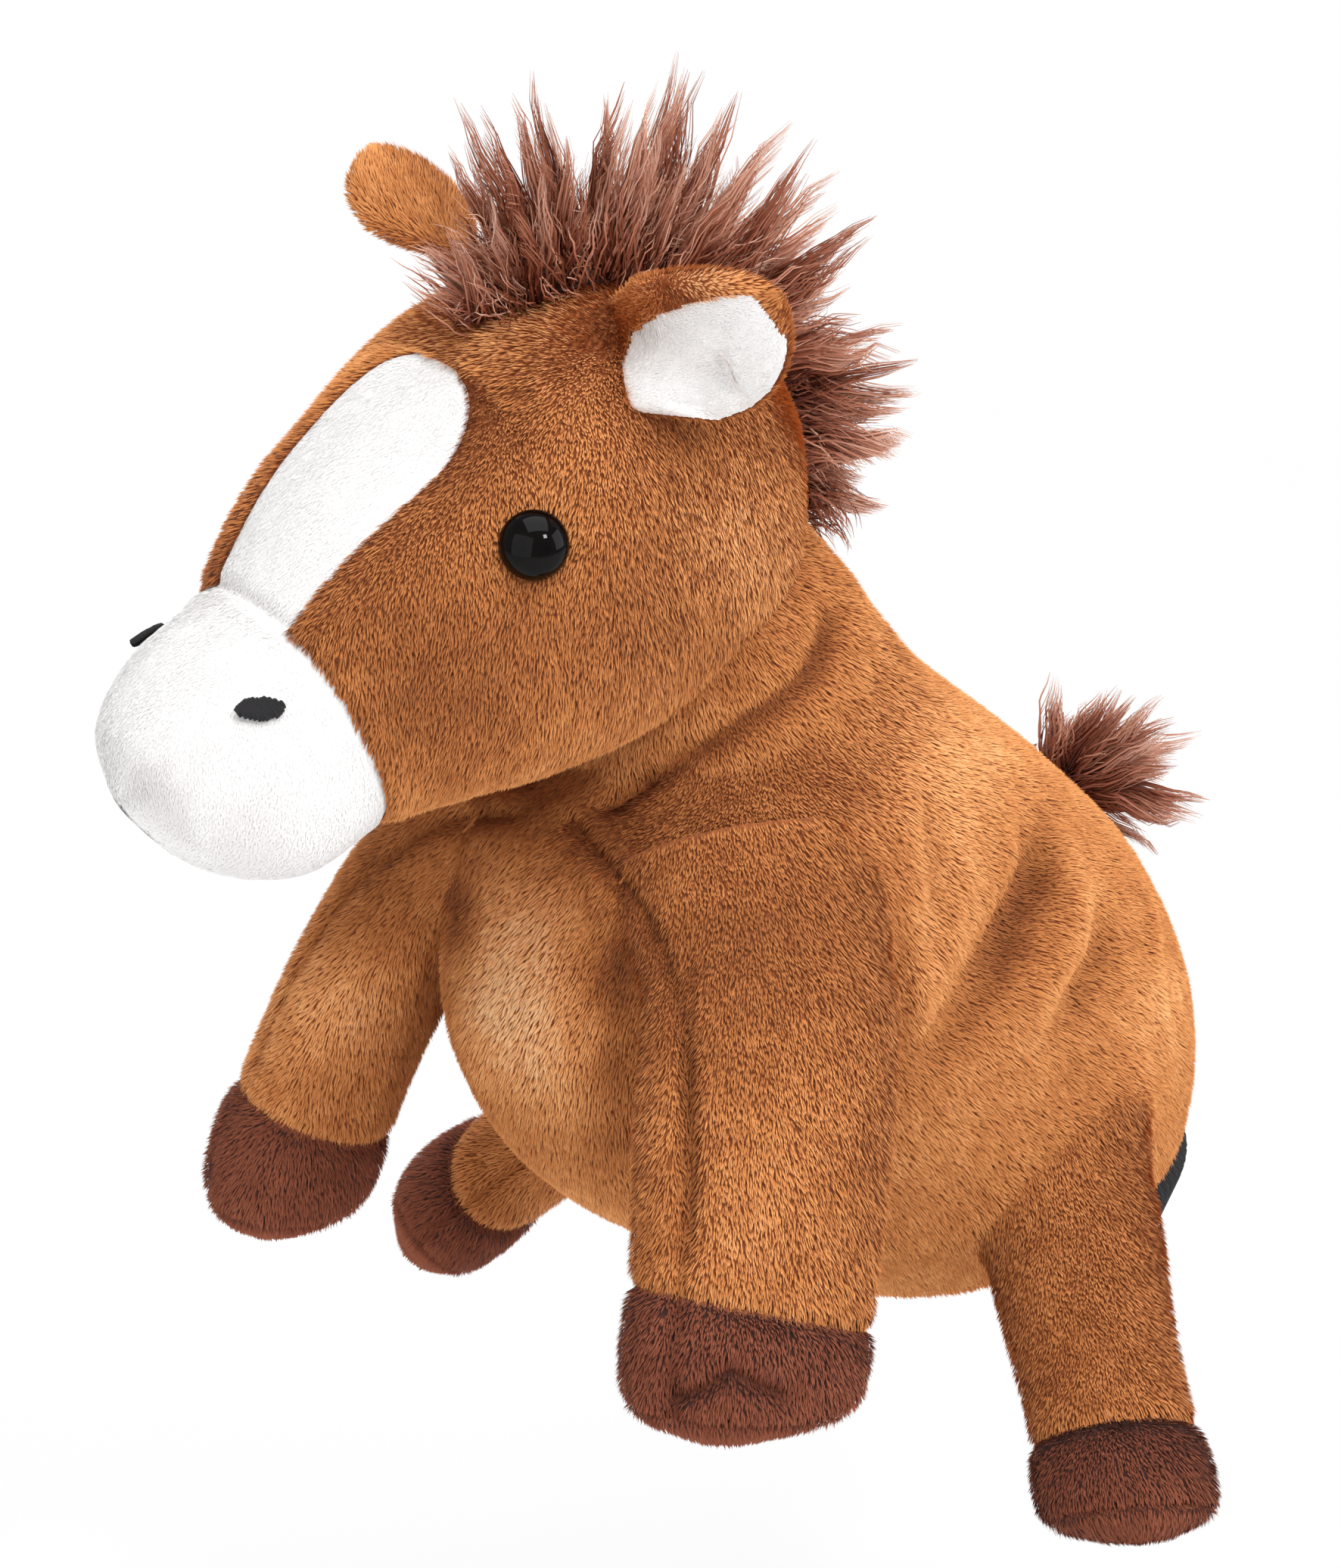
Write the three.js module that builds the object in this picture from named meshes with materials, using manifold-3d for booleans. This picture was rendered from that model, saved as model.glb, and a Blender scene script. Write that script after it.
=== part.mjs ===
// Horse hand puppet: a lined plush glove with a stuffed head, two legs in front that take the thumb and
// a finger, and two stuffed legs behind.
// Millimetres and degrees, +Z up. The horse faces -Y and its left side is +X.
// The origin is the centre of the hand opening, where the wearer's wrist leaves the glove.
import * as THREE from "three";
import { mergeVertices } from "three/addons/utils/BufferGeometryUtils.js";
import Module from "manifold-3d";

const wasm = await Module();
wasm.setup();

// Fabrics and clearances
const PLUSH = 3; // plush with its pile
const LINING = 1.2; // black lining cloth
const BAND = 2; // knitted band round the hand opening
const APPLIQUE = 1.6; // white plush patch sewn on the face
const THREAD = 0.9; // satin stitch of the nostrils
const GAP = 0.3; // between pieces that lie against each other
const EASE = 1.8; // between the cover of torso or head and what it is loosely drawn over
const LEG_EASE = 1; // the same in a leg
const SWING_GAP = 0.78; // between a piece that swings and what it swings past
const NECK_GAP = 1; // between the head and the collar that it nods in
const SOLE_SEAM = 0.45; // between a hoof and its sole
const SWING_STEP = 8; // degrees between the poses that a swept clearance is cut at

// Torso ribs, from the neck down to the hand opening: middle of the front and of the back, and half the width
const TORSO_RIBS = {
  neck: { front: [-106, 127], back: [-44, 151], half: 35 },
  shoulder: { front: [-119, 104], back: [-31, 136], half: 46 },
  chest: { front: [-125, 72], back: [1, 111], half: 52 },
  barrel: { front: [-112, 44], back: [28, 85], half: 54 },
  loin: { front: [-86, 23], back: [44, 56], half: 51 },
  hip: { front: [-59, 9], back: [47, 28], half: 44 },
  mouth: { front: [-36, -2], back: [36, 2], half: 36 },
};
const TORSO_FULLNESS = 0.92; // 1 makes the section an ellipse, less makes it fuller
const BELLY_SEAM = 38; // angle of the belly panel's seams, from the middle of the front
const HEM_FRONT = 2; // wrist band that shows below the plush, in front
const HEM_BACK = 11; // and behind
const BAND_HEIGHT = 19;
const ARMHOLE = 12; // radius of the holes for thumb and finger

// Folds that each side of the loose body hangs in, as lines of [along, angle] on the torso
const FOLDS = [
  { line: [[0.27, 140], [0.318, 123], [0.343, 118], [0.36, 106], [0.38, 92], [0.43, 72]], depth: 6, half: 6.5 },
  { line: [[0.455, 126], [0.47, 112], [0.49, 92]], depth: 3, half: 5.5 },
];
const FOLD_FADE = 0.35; // share of a fold's line over which it deepens at each end
const LINING_FOLD = 1.25; // depth and width of a fold in the lining, as a share of that in the plush

// Head ribs in the head's own frame, from the nape to the nose: middle of the crown side and of the jaw side
const HEAD_RIBS = {
  nape: { top: [19, 35], jaw: [19, 29], half: 3 },
  occiput: { top: [13, 51], jaw: [15, 13], half: 19 },
  poll: { top: [0, 65], jaw: [5, -1], half: 31 },
  crown: { top: [-20, 72], jaw: [-19, -13], half: 40 },
  brow: { top: [-44, 66], jaw: [-44, -17], half: 47.5 },
  cheek: { top: [-70, 42], jaw: [-61, -19], half: 41 },
  bridge: { top: [-90, 21], jaw: [-72, -22], half: 31.5 },
  nose: { top: [-107, 12], jaw: [-88, -30], half: 29 },
  lip: { top: [-117, 1], jaw: [-105, -27], half: 20 },
  tip: { top: [-119, -10], jaw: [-116, -17], half: 5 },
};
const HEAD_FULLNESS = 0.82;
const HEAD_TURN = -13; // the head looks a little to its right
const NECK_RISE = 8.5; // nod pivot above the middle of the neck rib
const NECK_BALL = 28; // radius of the stuffed root of the head
const COLLAR = 5; // thickness of the neck collar round that root
const COLLAR_UP = 6; // height of the collar above the pivot
const COLLAR_DOWN = 19; // and below it
const MUZZLE_SEAM = 0.672; // where the white muzzle begins, along the head
const BLAZE = { from: 0.48, wide: 28, narrow: 22, roundTop: 0.3, blunt: 0.2 };
const EYE = { along: 0.498, angle: 65, radius: 6, dome: 4.4, shank: 2, shankLength: 12 };
const WASHER = { radius: 6, thickness: 1.2, depth: 5 };
const NOSTRIL = { along: 0.745, angle: 47, halfAlong: 0.026, halfAngle: 5.5, lean: -4, crown: 0.7 };
const HEAD_FINGER = { radius: 11, depth: 62 };
const HEAD_INSIDE = { nape: 0.05, nose: 0.975 }; // ends of the hollow in the head's plush, along the head
const HEAD_STUFFING = { nape: 0.08, nose: 0.95 };

// Ears, in the head's frame
const EAR = { along: 0.335, angle: 39, length: 34, half: 16, root: 10, plush: 2, cup: 65, sunk: 3 };
const EAR_SHAPE = { flare: 0.4, taper: 0.45, blunt: 0.01 }; // full width, start of the tip, and its bluntness
const EAR_SWEEP = { left: 5, right: -28 }; // how far back each ear lies at rest
const EAR_OUT = [0.85, 0.25, 0.38]; // the way the left ear points
const EAR_FACE = [0.55, -0.65, -0.5]; // the way its lining looks

// Mane and tail, as the envelope of the long pile
const MANE = { front: 0.43, nape: 0.05, below: 24, brow: 28, crest: 36, back: 23, half: 9 };
const MANE_RISE = 0.25; // share of the mane over which it rises from the forelock to its full height
const MANE_LEAN = 0.35; // how far its lower end leans back, for each millimetre down
const MANE_END = 0.5; // height of its lower end as a share of that at the nape
const MANE_SECTION = [[1, 0], [1, 0.5], [0.55, 0.85], [0, 1], [-0.55, 0.85], [-1, 0.5], [-1, 0]];
const TAIL = { along: 0.5, length: 30, half: 13, root: 4, rootLength: 5, lift: -12, bed: 0.2 };
const TUFT = [[0.18, 0.45], [0.35, 0.75], [0.65, 1], [0.88, 0.9], [1, 0.45]]; // of length and half width

// Legs: stations from the root outwards, as millimetres out, forwards and down from the joint, and half sizes
const FORELEG = {
  along: 0.2,
  angle: 65,
  turnIn: 25, // the broad side is turned in at the front by this
  swing: { left: 0, right: 0 },
  sag: { left: [0, 0, 0], right: [1, 0, -2.5] }, // of the end of the limp leg, from where it would stand
  stations: [
    { out: -14, fore: -2, down: -6, wide: 20, thick: 15 },
    { out: 2, fore: 6, down: 14, wide: 24.5, thick: 16 },
    { out: 12, fore: 17, down: 38, wide: 24.5, thick: 15.5 },
    { out: 18, fore: 25, down: 60, wide: 23.5, thick: 15.5 },
    { out: 21, fore: 30, down: 73, wide: 23.5, thick: 16.5 },
    { out: 22, fore: 32, down: 81, wide: 21, thick: 14 },
    { out: 22, fore: 32, down: 85, wide: 11, thick: 7 },
  ],
  hoofSeam: 0.54,
  sole: 0.82,
  stall: 0.5, // end of the finger's stall
  mouth: 8, // how far out of the joint the finger's way is cut
};
const HINDLEG = {
  along: 0.72,
  angle: 85,
  turnIn: 25,
  swing: { left: 12, right: -2 },
  sag: { left: [1.5, 2.6, 1.9], right: [-4, -1, -9] },
  stations: [
    { out: -14, fore: -8, down: -12, wide: 19, thick: 13 },
    { out: 5, fore: 6, down: 4, wide: 18.5, thick: 13.5 },
    { out: 19, fore: 18, down: 15, wide: 17, thick: 12.5 },
    { out: 30, fore: 27, down: 25, wide: 16.5, thick: 12.5 },
    { out: 39, fore: 35, down: 34, wide: 18, thick: 14 },
    { out: 43, fore: 39, down: 39, wide: 16, thick: 12 },
    { out: 45, fore: 41, down: 42, wide: 8, thick: 6 },
  ],
  hoofSeam: 0.55,
  sole: 0.82,
};

// Joint ranges, from the pose at rest
const RANGE = {
  turn: [-16, 42],
  nod: [-15, 10],
  foreleg: { left: [-28, 20], right: [-28, 20] },
  hindleg: { left: [-40, 10], right: [-26, 24] },
  ear: [-20, 20],
  tail: [-25, 25],
};

// Colours
const cloth = (color, roughness = 0.95) => new THREE.MeshStandardMaterial({ color, roughness, metalness: 0 });
const BROWN = cloth(0xb9743c);
const HOOF_BROWN = cloth(0x63392b);
const HAIR_BROWN = cloth(0x5e3128);
const WHITE = cloth(0xf1eeee);
const BLACK_CLOTH = cloth(0x17171c);
const FIBRE = cloth(0xe9e6df);
const EYE_BLACK = cloth(0x0a0807, 0.12);
const WASHER_WHITE = cloth(0xd9d9d6, 0.5);

const LEG_INSIDE = 0.94; // end of the hollow in a sole, along the leg
const LEG_STUFFING = 0.9;

// Facets of the forms: sides round them and rows along them
const BODY = { sides: 24, rows: 8 };
const LIMB = { sides: 14, rows: 6 };
const SMALL = { sides: 12, rows: 4 };
const BLOCKER = { sides: 24, rows: 12 };
const TORSO_BLOCKER = { sides: 36, rows: 18 };
const HEAD_FACETS = { sides: 24, rows: 10 };
const GLOVE = { sides: 36, rows: 16 };
const ROUND = { sides: 20, rows: 12 };
const ACROSS = { belly: 7, side: 22, blaze: 8, ear: 6 };
const DRAPE_ROWS = 20; // of the body's plush, close enough for its folds
const FOLD_STEPS = 16; // along the line of a fold

const SIDE = { left: 1, right: -1 };
const rad = THREE.MathUtils.degToRad;
const V = (x, y, z) => new THREE.Vector3(x, y, z);
const lerp = THREE.MathUtils.lerp;
const clamp = THREE.MathUtils.clamp;
const steps = (n, from, to) => Array.from({ length: n + 1 }, (_, i) => from + ((to - from) * i) / n);

// A form is a smooth tube of oval sections with a centre c and half axes a and b
// Along it runs from 0 to 1
function form(stations, fullness = 1) {
  const curve = (key) => new THREE.CatmullRomCurve3(stations.map((s) => s[key]), false, "catmullrom", 0.5);
  const [c, a, b] = ["c", "a", "b"].map(curve);
  const full = (x) => Math.sign(x) * Math.abs(x) ** fullness;
  const at = (along, angle) => {
    const t = clamp(along, 0, 1);
    const across = b.getPoint(t).multiplyScalar(full(Math.sin(angle)));
    return c.getPoint(t).addScaledVector(a.getPoint(t), full(Math.cos(angle))).add(across);
  };
  return { centre: (along) => c.getPoint(along), at };
}

// A rib of a form that lies across the middle plane, from its two ends in that plane as [y, z]
function middleRib([y0, z0], [y1, z1], half) {
  const [first, second] = [V(0, y0, z0), V(0, y1, z1)];
  const centre = first.clone().add(second).multiplyScalar(0.5);
  return { c: centre, a: first.sub(centre), b: V(half, 0, 0) };
}

// Outward normal of a form, and a point of it moved out by d
const STEP = 1e-3;
function normalAt(f, along, angle) {
  const t = clamp(along, STEP, 1 - STEP);
  const onward = f.at(t + STEP, angle).sub(f.at(t - STEP, angle));
  const round = f.at(t, angle + STEP).sub(f.at(t, angle - STEP));
  const n = round.cross(onward).normalize();
  return n.dot(f.at(t, angle).sub(f.centre(t))) < 0 ? n.negate() : n;
}
const skinPoint = (f, along, angle, d) => f.at(along, angle).addScaledVector(normalAt(f, along, angle), d);

// A distance near a place on a form, as a share of the form's length
function share(f, along, distance) {
  const t = clamp(along, STEP, 1 - STEP);
  return (2 * STEP * distance) / f.centre(t + STEP).distanceTo(f.centre(t - STEP));
}

// A closed solid from a geometry, turned so that its faces point out
function solidOf(geometry) {
  const bare = new THREE.BufferGeometry().setAttribute("position", geometry.getAttribute("position").clone());
  bare.setIndex(geometry.index);
  const g = mergeVertices(bare, 1e-4);
  const kept = [];
  for (let i = 0; i < g.index.count; i += 3) {
    const [p, q, r] = [0, 1, 2].map((k) => g.index.getX(i + k));
    if (p !== q && q !== r && r !== p) kept.push([p, q, r]);
  }
  const make = (triangles) =>
    new wasm.Manifold(
      new wasm.Mesh({
        numProp: 3,
        vertProperties: g.attributes.position.array,
        triVerts: new Uint32Array(triangles.flat()),
      }),
    );
  const made = make(kept);
  return made.volume() < 0 ? make(kept.map(([p, q, r]) => [p, r, q])) : made;
}

function solid(points, triangles) {
  const g = new THREE.BufferGeometry().setFromPoints(points);
  g.setIndex(triangles.flat());
  return solidOf(g);
}

function geometryOf(s) {
  const mesh = s.getMesh();
  const g = new THREE.BufferGeometry();
  g.setAttribute("position", new THREE.BufferAttribute(new Float32Array(mesh.vertProperties), 3));
  g.setIndex(new THREE.BufferAttribute(new Uint32Array(mesh.triVerts), 1));
  return g;
}

const moved = (s, matrix) => solidOf(geometryOf(s).applyMatrix4(matrix));
const union = (solids) => solids.reduce((sum, s) => sum.add(s));

// Loops of points joined one after another
// A loop of one point closes an end, and a cyclic chain joins its last loop to its first
function skin(loops, cyclic = false) {
  const starts = loops.map((_, i) => loops.slice(0, i).reduce((sum, loop) => sum + loop.length, 0));
  const triangles = [];
  for (let i = 0; i < (cyclic ? loops.length : loops.length - 1); i++) {
    const j = (i + 1) % loops.length;
    const [n, m] = [loops[i].length, loops[j].length];
    for (let k = 0; k < Math.max(n, m); k++) {
      const [here, hereNext] = [starts[i] + (k % n), starts[i] + ((k + 1) % n)];
      const [there, thereNext] = [starts[j] + (k % m), starts[j] + ((k + 1) % m)];
      if (n > 1) triangles.push([here, hereNext, there]);
      if (m > 1) triangles.push([hereNext, thereNext, there]);
    }
  }
  return solid(loops.flat(), triangles);
}

const round = (sides) => steps(sides, 0, 2 * Math.PI).slice(0, sides);
const ring = (f, along, d, sides) => round(sides).map((angle) => skinPoint(f, along, angle, d));
const middle = (loop) => [loop.reduce((sum, p) => sum.add(p), V(0, 0, 0)).divideScalar(loop.length)];

// A stuffed form between two places along it, closed at both ends
function plug(f, d, from, to, { sides, rows }) {
  const rings = steps(rows, from, to).map((t) => ring(f, t, d, sides));
  return skin([middle(rings[0]), ...rings, middle(rings.at(-1))]);
}

// A sleeve of cloth that is open at both ends
function sleeve(f, outer, inner, from, to, { sides, rows }) {
  const out = steps(rows, from, to).map((t) => ring(f, t, outer, sides));
  const back = steps(rows, to, from).map((t) => ring(f, t, inner, sides));
  return skin([...out, ...back], true);
}

// A cap of cloth that is closed at its far end
function cap(f, outer, inner, from, to, innerTo, { sides, rows }) {
  const out = steps(rows, from, to).map((t) => ring(f, t, outer, sides));
  const back = steps(rows, innerTo, from).map((t) => ring(f, t, inner, sides));
  return skin([middle(back[0]), ...back, ...out, middle(out.at(-1))]);
}

// A sheet of cloth over surface(u, v), with u and v from 0 to 1, between two heights above it
function sheet(surface, low, high, across, rows) {
  const normal = (u, v) => {
    const [p, q] = [clamp(u, STEP, 1 - STEP), clamp(v, STEP, 1 - STEP)];
    const du = surface(p + STEP, q).sub(surface(p - STEP, q));
    const dv = surface(p, q + STEP).sub(surface(p, q - STEP));
    return du.cross(dv).normalize();
  };
  const row = (v, d) => steps(across, 0, 1).map((u) => surface(u, v).addScaledVector(normal(u, v), d));
  const sections = steps(rows, 0, 1).map((v) => ({ top: row(v, high), under: row(v, low) }));
  const loops = sections.map(({ top, under }) => [...top, ...under.reverse()]);
  const count = 2 * (across + 1);
  const triangles = [];
  for (let i = 0; i < rows; i++) {
    for (let k = 0; k < count; k++) {
      const [here, next] = [i * count + k, i * count + ((k + 1) % count)];
      triangles.push([here, next, here + count], [next, next + count, here + count]);
    }
  }
  for (let k = 0; k < across; k++) {
    const [p, q, r, s] = [k, k + 1, count - 2 - k, count - 1 - k];
    const far = rows * count;
    triangles.push([p, r, q], [p, s, r], [far + p, far + q, far + r], [far + p, far + r, far + s]);
  }
  return solid(loops.flat(), triangles);
}

// A joint turns what hangs on it about an axis through a pivot
const turned = ({ pivot, axis }, degrees) =>
  new THREE.Matrix4()
    .makeTranslation(pivot)
    .multiply(new THREE.Matrix4().makeRotationAxis(axis, rad(degrees)))
    .multiply(new THREE.Matrix4().makeTranslation(pivot.clone().negate()));

const poses = ([low, high]) => [0, ...steps(Math.ceil((high - low) / SWING_STEP), low, high)];

// What a fixed solid passes through, seen from a piece that swings on the joint
function sweptPast(fixed, joint, range) {
  const g = geometryOf(fixed);
  return union(poses(range).map((degrees) => solidOf(g.clone().applyMatrix4(turned(joint, -degrees)))));
}

// A rod from one point to another
function rod(from, to, radius) {
  const g = new THREE.CylinderGeometry(radius, radius, from.distanceTo(to), ROUND.sides);
  g.applyQuaternion(new THREE.Quaternion().setFromUnitVectors(V(0, 1, 0), to.clone().sub(from).normalize()));
  return solidOf(g.translate(...from.clone().add(to).multiplyScalar(0.5)));
}

function ball(centre, radius) {
  return solidOf(new THREE.SphereGeometry(radius, ROUND.sides, ROUND.rows).translate(...centre));
}

// A profile of [radius, height] points turned about an axis through a place
function turnedProfile(profile, place, axis, sides) {
  const g = new THREE.LatheGeometry(profile.map(([r, h]) => new THREE.Vector2(r, h)), sides);
  g.applyQuaternion(new THREE.Quaternion().setFromUnitVectors(V(0, 1, 0), axis));
  return solidOf(g.translate(...place));
}

// The main piece of a cut, without the crumbs that a cut can leave
const mainPiece = (s) => s.decompose().reduce((best, p) => (p.volume() > best.volume() ? p : best));

function add(group, name, s, material) {
  const mesh = new THREE.Mesh(geometryOf(mainPiece(s)), material);
  mesh.name = name;
  group.add(mesh);
}

// The forms of torso and head, and the solids that stand for them where others swing past
const torso = form(Object.values(TORSO_RIBS).map((r) => middleRib(r.front, r.back, r.half)), TORSO_FULLNESS);
const torsoBody = plug(torso, SWING_GAP, 0, 1, TORSO_BLOCKER);
const head = form(Object.values(HEAD_RIBS).map((r) => middleRib(r.top, r.jaw, r.half)), HEAD_FULLNESS);
const headBody = plug(head, NECK_GAP, 0, 1, BLOCKER);

// The torso with the folds pressed in, alike on both sides
const foldLines = FOLDS.map(({ line, depth, half }) => {
  const curve = new THREE.CatmullRomCurve3(line.map(([along, angle]) => torso.at(along, rad(angle))));
  return { points: curve.getPoints(FOLD_STEPS), depth, half };
});

// How far a place lies from a line of points, and its share of the way along that line
function nearestOn(points, place) {
  const each = points.slice(1).map((end, i) => {
    const stretch = new THREE.Line3(points[i], end);
    const t = stretch.closestPointToPointParameter(place, true);
    return { away: stretch.at(t, V(0, 0, 0)).distanceTo(place), t: (i + t) / FOLD_STEPS };
  });
  return each.reduce((best, next) => (next.away < best.away ? next : best));
}

function foldDepth(point, size) {
  const place = V(Math.abs(point.x), point.y, point.z);
  return foldLines.reduce((sum, { points, depth, half }) => {
    const { away, t } = nearestOn(points, place);
    const fade = THREE.MathUtils.smoothstep(Math.min(t, 1 - t), 0, FOLD_FADE);
    return sum + size * depth * fade * Math.exp(-((away / (size * half)) ** 2));
  }, 0);
}

const folded = (size) => ({
  centre: torso.centre,
  at: (along, angle) => skinPoint(torso, along, angle, -foldDepth(torso.at(along, angle), size)),
});

// The neck's axis stands square on the neck rib, and the head turns and nods about one pivot on it
const neckRib = middleRib(TORSO_RIBS.neck.front, TORSO_RIBS.neck.back, TORSO_RIBS.neck.half);
const neckAxis = neckRib.a.clone().cross(neckRib.b).normalize();
const neckPivot = neckRib.c.clone().addScaledVector(neckAxis, NECK_RISE);
const headPlace = new THREE.Matrix4().makeRotationZ(rad(HEAD_TURN)).setPosition(neckPivot);
const turnJoint = { pivot: neckPivot, axis: neckAxis };
const nodJoint = { pivot: neckPivot, axis: V(1, 0, 0).transformDirection(headPlace) };
const collarInside = NECK_BALL + GAP;
const collarOutside = collarInside + COLLAR;

function headSwept() {
  const g = geometryOf(moved(headBody, headPlace));
  const turns = poses(RANGE.turn).map((degrees) => turned(turnJoint, degrees));
  const nods = poses(RANGE.nod).map((degrees) => turned(nodJoint, degrees));
  const all = turns.flatMap((turn) => nods.map((nod) => turn.clone().multiply(nod)));
  return union(all.map((pose) => solidOf(g.clone().applyMatrix4(pose))));
}

// Legs: the joint on the torso's side, and the form that grows from it
function legJoint(spec, side) {
  return { pivot: torso.at(spec.along, SIDE[side] * rad(spec.angle)), axis: V(1, 0, 0) };
}

function legForm(spec, side) {
  const s = SIDE[side];
  const { pivot, axis } = legJoint(spec, side);
  const path = spec.stations.map(({ out, fore, down }) => pivot.clone().add(V(s * out, -fore, -down)));
  const broad = V(-s * Math.sin(rad(spec.turnIn)), -Math.cos(rad(spec.turnIn)), 0);
  const swing = turned({ pivot, axis }, spec.swing[side]);
  const turn = (v) => v.applyAxisAngle(axis, rad(spec.swing[side]));
  const sag = V(...spec.sag[side]);
  return form(
    spec.stations.map(({ wide, thick }, i) => {
      const limp = (i / (path.length - 1)) ** 2;
      const onward = path[Math.min(i + 1, path.length - 1)].clone().sub(path[Math.max(i - 1, 0)]).normalize();
      const a = broad.clone().projectOnPlane(onward).normalize();
      const b = a.clone().cross(onward).multiplyScalar(s);
      return {
        c: path[i].clone().applyMatrix4(swing).addScaledVector(sag, limp),
        a: turn(a).multiplyScalar(wide),
        b: turn(b).multiplyScalar(thick),
      };
    }),
  );
}

// The outer or the inner half of a leg's cover, from the root to the hoof's seam
// The leg's seams run down its front and back
function legCover(f, to, [low, high]) {
  const surface = (u, v) => f.at(lerp(0, to, v), lerp(low, high, u));
  return clothOver(f, surface, -PLUSH, 0, LIMB.sides / 2, LIMB.rows);
}

// A sheet whose heights count outwards from the form it lies on
function clothOver(f, surface, low, high, across, rows) {
  const at = surface(0.5, 0.5);
  const du = surface(0.5 + STEP, 0.5).sub(at);
  const dv = surface(0.5, 0.5 + STEP).sub(at);
  const nearer = (t, best) => f.centre(t).distanceTo(at) < f.centre(best).distanceTo(at);
  const nearest = steps(ROUND.sides, 0, 1).reduce((best, t) => (nearer(t, best) ? t : best), 0);
  const outwards = Math.sign(du.cross(dv).dot(at.clone().sub(f.centre(nearest))));
  return sheet(surface, outwards * low, outwards * high, across, rows);
}

// Torso: two plush sides and a belly panel over a black glove lining, with a knitted band at the hand opening
function buildTorso() {
  const group = new THREE.Group();
  const seam = rad(BELLY_SEAM);
  const half = seamHalf(torso);
  const sweep = headSwept();
  const hem = (angle) => 1 - share(torso, 1, lerp(HEM_FRONT, HEM_BACK, (1 - Math.cos(angle)) / 2));
  const socket = ball(neckPivot, collarOutside + SWING_GAP);
  const draped = folded(1);
  const cover = (low, high, across) => {
    const surface = (u, v) => {
      const angle = lerp(low + half, high - half, u);
      return draped.at(lerp(0, hem(angle), v), angle);
    };
    return clothOver(torso, surface, -PLUSH, 0, across, DRAPE_ROWS).subtract(socket).subtract(sweep);
  };
  const armholes = union(Object.keys(SIDE).map(armhole));
  add(group, "chest_belly_panel", cover(-seam, seam, ACROSS.belly), BROWN);
  add(group, "body_side_left", cover(seam, Math.PI, ACROSS.side).subtract(armholes), BROWN);
  const right = cover(Math.PI, 2 * Math.PI - seam, ACROSS.side);
  add(group, "body_side_right", right.subtract(armholes), BROWN);

  const bandTop = 1 - share(torso, 1, BAND_HEIGHT);
  const liningEnd = bandTop - share(torso, bandTop, GAP);
  const inside = -PLUSH - EASE;
  const lining = sleeve(folded(LINING_FOLD), inside, inside - LINING, 0, liningEnd, GLOVE);
  const band = sleeve(torso, inside, inside - BAND, bandTop, 1, { sides: GLOVE.sides, rows: 3 });
  add(group, "glove_lining", lining.subtract(socket).subtract(armholes), BLACK_CLOTH);
  add(group, "wrist_band", band, BLACK_CLOTH);
  return group;
}

// Half the angle of a seam's gap
const seamHalf = (f) => GAP / 2 / f.at(0, Math.PI / 2).distanceTo(f.centre(0));

// The hole that a finger passes on its way into a foreleg
const armhole = (side) => fingerWay(side, 2 * ARMHOLE);

function fingerWay(side, outwards) {
  const { pivot } = legJoint(FORELEG, side);
  const at = (x) => pivot.clone().add(V(SIDE[side] * x, 0, 0));
  return rod(at(-2 * ARMHOLE), at(outwards), ARMHOLE);
}

// Neck: a stitched collar that the root of the head sits in
function buildNeck() {
  const group = new THREE.Group();
  const arc = (radius, heights) => heights.map((h) => [Math.sqrt(radius ** 2 - h ** 2), h]);
  const rise = steps(LIMB.rows, -COLLAR_DOWN, COLLAR_UP);
  const band = [...arc(collarOutside, rise), ...arc(collarInside, rise.toReversed())];
  const ringOfCloth = turnedProfile([...band, band[0]], neckPivot, neckAxis, BODY.sides);
  const nodding = sweptPast(moved(headBody, headPlace), nodJoint, [-RANGE.nod[1], -RANGE.nod[0]]);
  add(group, "neck_collar", ringOfCloth.subtract(nodding), BROWN);
  return group;
}

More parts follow.
